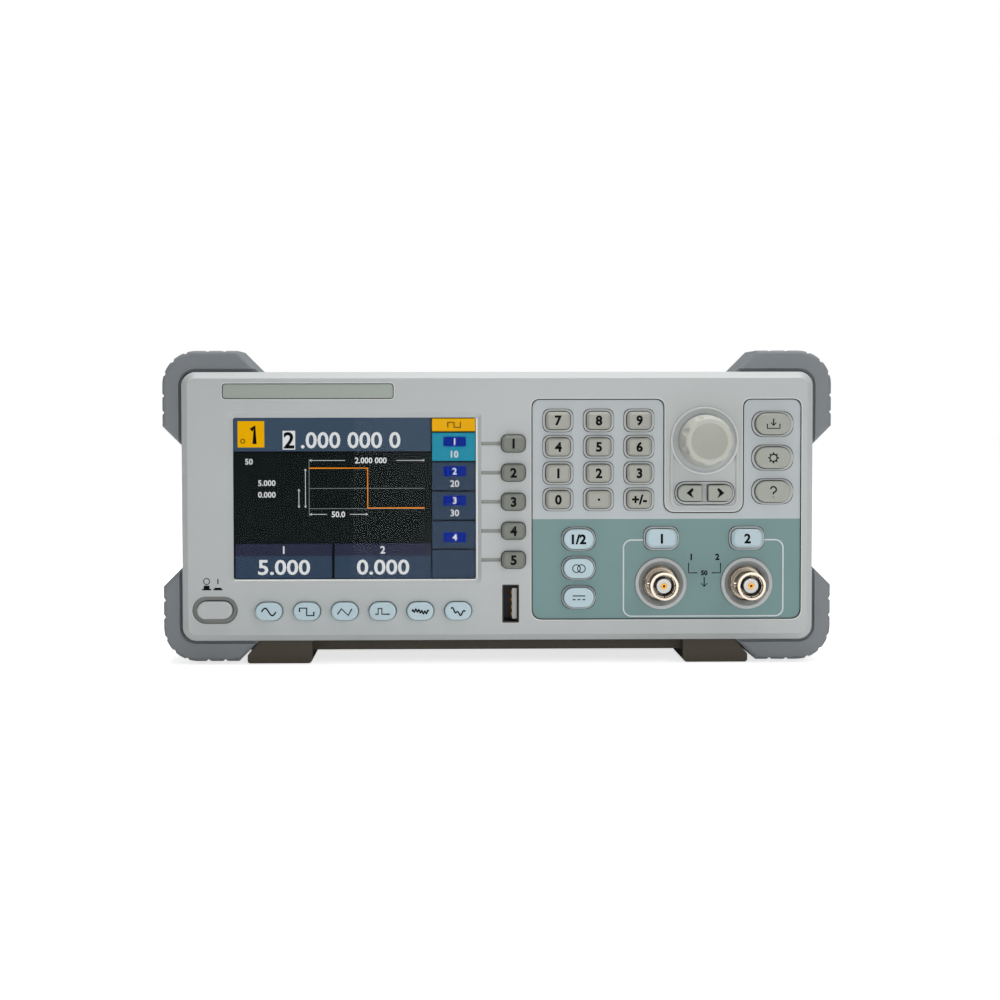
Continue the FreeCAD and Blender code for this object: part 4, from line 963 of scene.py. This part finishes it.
def screen_line(name, strokes, colour, width=0.35, layer=2):
    moved = [[(SCREEN_LEFT + x, SCREEN_TOP - y) for x, y in stroke] for stroke in strokes]
    ink_line("picture_" + name, moved, 0, 0, SCREEN_DEPTH - layer * LAYER, width, LIT[colour], "case")


print("picture depth", round(SCREEN_DEPTH, 2))

# %% [markdown]
# The fields follow the usual layout of such a screen: header with the number in large figures,
# the drawing field, two value cells below and the soft-key boxes at the right. Only plain figures
# are written.

# %% The picture's fields
MENU_EDGE = 69.0
MENU_MIDDLE = 77.4
screen_tile("ground", 0.0, 0.0, SCREEN_WIDTH, SCREEN_HEIGHT, "black", layer=0)
screen_tile("header", 0.0, 0.0, MENU_EDGE, 11.8, "header")
screen_tile("channel", 1.5, 1.2, 10.8, 10.4, "yellow", layer=2)
screen_line("channel_number", [[(6.2, 4.4), (7.4, 3.3), (7.4, 9.2)]], "black", width=1.7, layer=4)
screen_line("channel_mark", [arc_points(3.3, 8.2, 0.7, 0, 360)], "black", width=0.35, layer=4)
screen_tile("cursor", 17.2, 4.6, 21.6, 11.2, "white", layer=2)
screen_text("cursor_digit", "2", 19.4, 7.9, 5.6, "black", layer=3, weight=0.2)
screen_text("number", ".000 000 0", 41.0, 7.9, 5.6, "white", weight=0.14, stretch=1.05)
screen_tile("field", 0.0, 12.4, MENU_EDGE, 43.8, "field")
CELL_WIDTH, CELL_TOP = 33.8, 44.2
for cell, left, value in (("1", 0.5, "5.000"), ("2", 35.2, "0.000")):
    screen_tile("cell_" + cell, left, CELL_TOP, left + CELL_WIDTH, 56.4, "slate", layer=1)
    screen_tile("cell_head_" + cell, left, CELL_TOP, left + CELL_WIDTH, 48.5, "sub", layer=2)
    screen_text("cell_name_" + cell, cell, left + 16.9, 46.4, 2.6, "white", weight=0.08)
    screen_text("cell_value_" + cell, value, left + 17.0, 52.5, 5.2, "white", weight=0.14, stretch=1.15)
MENU_ROWS = ((0.4, 4.8, "yellow"), (5.4, 15.2, "cyan"), (15.8, 25.5, "slate"), (26.1, 35.8, "slate"),
             (36.4, 46.0, "slate"), (46.6, 56.3, "slate"))
for index, (top, bottom, colour) in enumerate(MENU_ROWS):
    row = str(index)
    screen_tile("menu_" + row, MENU_EDGE + 0.5, top, SCREEN_WIDTH - 0.2, bottom, colour)
    if index == 0:
        step_wave = [(75.0, 3.5), (75.0, 1.7), (77.2, 1.7), (77.2, 3.5), (79.4, 3.5), (79.4, 1.7)]
        screen_line("menu_head", [step_wave], "black", width=0.5, layer=3)
    elif index < 5:
        box_top = top + (3.9 if index == 4 else 1.3)
        screen_tile("menu_box_" + row, MENU_MIDDLE - 4, box_top, MENU_MIDDLE + 4, box_top + 3.5, "navy",
                    layer=2)
        screen_text("menu_name_" + row, row, MENU_MIDDLE, box_top + 1.75, 2.3, "white", weight=0.07)
    if 0 < index < 4:
        screen_text("menu_value_" + row, row + "0", MENU_MIDDLE, bottom - 2.3, 2.3, "white", weight=0.05)

# %% [markdown]
# One period of a square wave is drawn in orange over thin grey axes. Dimension lines with small
# heads run beside it, as on an engineering drawing.

# %% The picture's trace
X0, X1, X2 = 26.4, 46.9, 66.8
Y_HIGH, Y_MID, Y_LOW = 17.7, 24.8, 31.7
axes = [[(X0, 14.5), (X0, 34.5)], [(X0, Y_MID), (X2, Y_MID)], [(X0, Y_LOW + 0.2), (X2, Y_LOW + 0.2)]]
screen_line("axis", axes, "grey", width=0.22)
screen_line("trace", [[(X0, Y_HIGH), (X1, Y_HIGH), (X1, Y_LOW), (X2, Y_LOW)]], "orange", width=0.5, layer=3)


def dimension(name, ends, head=0.7):
    """Line with an arrow head at each end."""
    (ax, ay), (bx, by) = ends
    length = math.hypot(bx - ax, by - ay)
    ux, uy = (bx - ax) / length, (by - ay) / length
    strokes = [[ends[0], ends[1]]]
    for px, py, sign in ((ax, ay, 1), (bx, by, -1)):
        back_x, back_y = px + sign * ux * head, py + sign * uy * head
        strokes.append([(back_x - uy * head / 2, back_y + ux * head / 2), (px, py),
                        (back_x + uy * head / 2, back_y - ux * head / 2)])
    screen_line(name, strokes, "white", width=0.2, layer=3)


dimension("period", [(X0 + 0.2, 15.0), (X2, 15.0)])
dimension("width", [(X0 + 0.2, 33.9), (X1, 33.9)])
dimension("height", [(25.1, Y_HIGH + 0.2), (25.1, 31.6)])
dimension("offset", [(22.8, Y_MID + 0.2), (22.8, 31.6)])
screen_tile("note_ground_1", 39.0, 13.6, 57.0, 16.4, "field", layer=5)
screen_tile("note_ground_2", 32.6, 32.5, 40.6, 35.3, "field", layer=5)
NOTES = (("5.000", 11.6, 22.9, 3), ("0.000", 11.6, 27.0, 3), ("2.000 000", 48.0, 15.0, 6),
         ("50.0", 36.6, 33.9, 6), ("50", 5.4, 15.4, 3))
for index, (figures, left, top, layer) in enumerate(NOTES):
    screen_text("note_" + str(index + 1), figures, left, top, 2.0, "white", layer=layer, weight=0.05)
print("trace from", X0, "to", X2, "mm")

# %% [markdown]
# A real BNC socket has a slotted contact sleeve inside its barrel, and a USB port has four sprung
# contacts on its tongue. The sleeve starts as an open tube; one strip of faces in every eighth of
# a turn is taken out, and a solidify modifier gives the fingers that are left their wall.

# %% Socket details
contact_faces = [face.center.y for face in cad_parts["output_sockets"].data.polygons
                 if face.material_index == 2]
CONTACT_TIP = (min(contact_faces) - FACE_Y) / MM


SLEEVE_RADIUS = 4.02 * MM
SLEEVE_LENGTH = 5.0 * MM
SLEEVE_WALL = 0.35 * MM
SLEEVE_SET_BACK = 4.3 * MM
FINGER_TURN = 45.0


def socket_sleeve(name, x, y_front, z, direction):
    """Slotted inner sleeve: a short tube split into eight fingers."""
    bpy.ops.object.select_all(action="DESELECT")
    bpy.ops.mesh.primitive_cylinder_add(vertices=64, radius=SLEEVE_RADIUS, depth=SLEEVE_LENGTH,
                                        end_fill_type="NOTHING", location=(0, 0, 0))
    sleeve = bpy.context.object
    bpy.ops.object.mode_set(mode="EDIT")
    bpy.ops.mesh.select_all(action="DESELECT")
    bpy.ops.object.mode_set(mode="OBJECT")
    for face in sleeve.data.polygons:
        turn = math.degrees(math.atan2(face.center.y, face.center.x)) % FINGER_TURN
        face.select = turn < FINGER_TURN / 8
    bpy.ops.object.mode_set(mode="EDIT")
    bpy.ops.mesh.delete(type="FACE")
    bpy.ops.object.mode_set(mode="OBJECT")
    wall = sleeve.modifiers.new("wall", "SOLIDIFY")
    wall.thickness = SLEEVE_WALL
    wall.offset = -1.0
    bpy.ops.object.modifier_apply(modifier="wall")
    sleeve.rotation_euler = (math.pi / 2, 0.0, 0.0)
    sleeve.location = (x, y_front + direction * SLEEVE_SET_BACK, z)
    return settle(sleeve, name, nickel, "case")


# A small dark disc on the tip of each output contact stands for the shade inside its bore: painted shade.
contact_bore_shade = moulded("contact_bore_shade", card(30, 20, 12), roughness=0.6, bump=0.05)
for index, (x, z) in enumerate(OUTPUTS):
    place = on_panel(x, z)
    tile("contact_bore_shade_" + str(index + 1), x, z, 0.9, 0.9, CONTACT_TIP, 0.02, contact_bore_shade, "case",
         radius=0.44)
    socket_sleeve("output_sleeve_" + str(index + 1), place.x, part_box("output_sockets")[0].y, place.z, 1)
for index, x in enumerate(REAR_JACKS):
    socket_sleeve("rear_sleeve_" + str(index + 1), x * MM, rear_high.y, REAR_JACK_Z, -1)
usb_x, usb_z = node_middle("usb_host_socket")[:2]
TONGUE_X = 1.35
USB_PITCH = 2.5
tongue_white = moulded("tongue_white", card(176, 174, 172), roughness=0.4, bump=0.05)
tile("usb_tongue_face", usb_x + TONGUE_X, usb_z, 1.6, 10.6, 1.55, 0.25, tongue_white, "case", radius=0.2)
for index in range(4):
    contact_z = usb_z + (index - 1.5) * USB_PITCH
    tile("usb_contact_" + str(index + 1), usb_x + 0.35, contact_z, 0.25, 1.1, 2.2, 0.2, gold, "case")
print("sleeves", len(OUTPUTS) + len(REAR_JACKS))
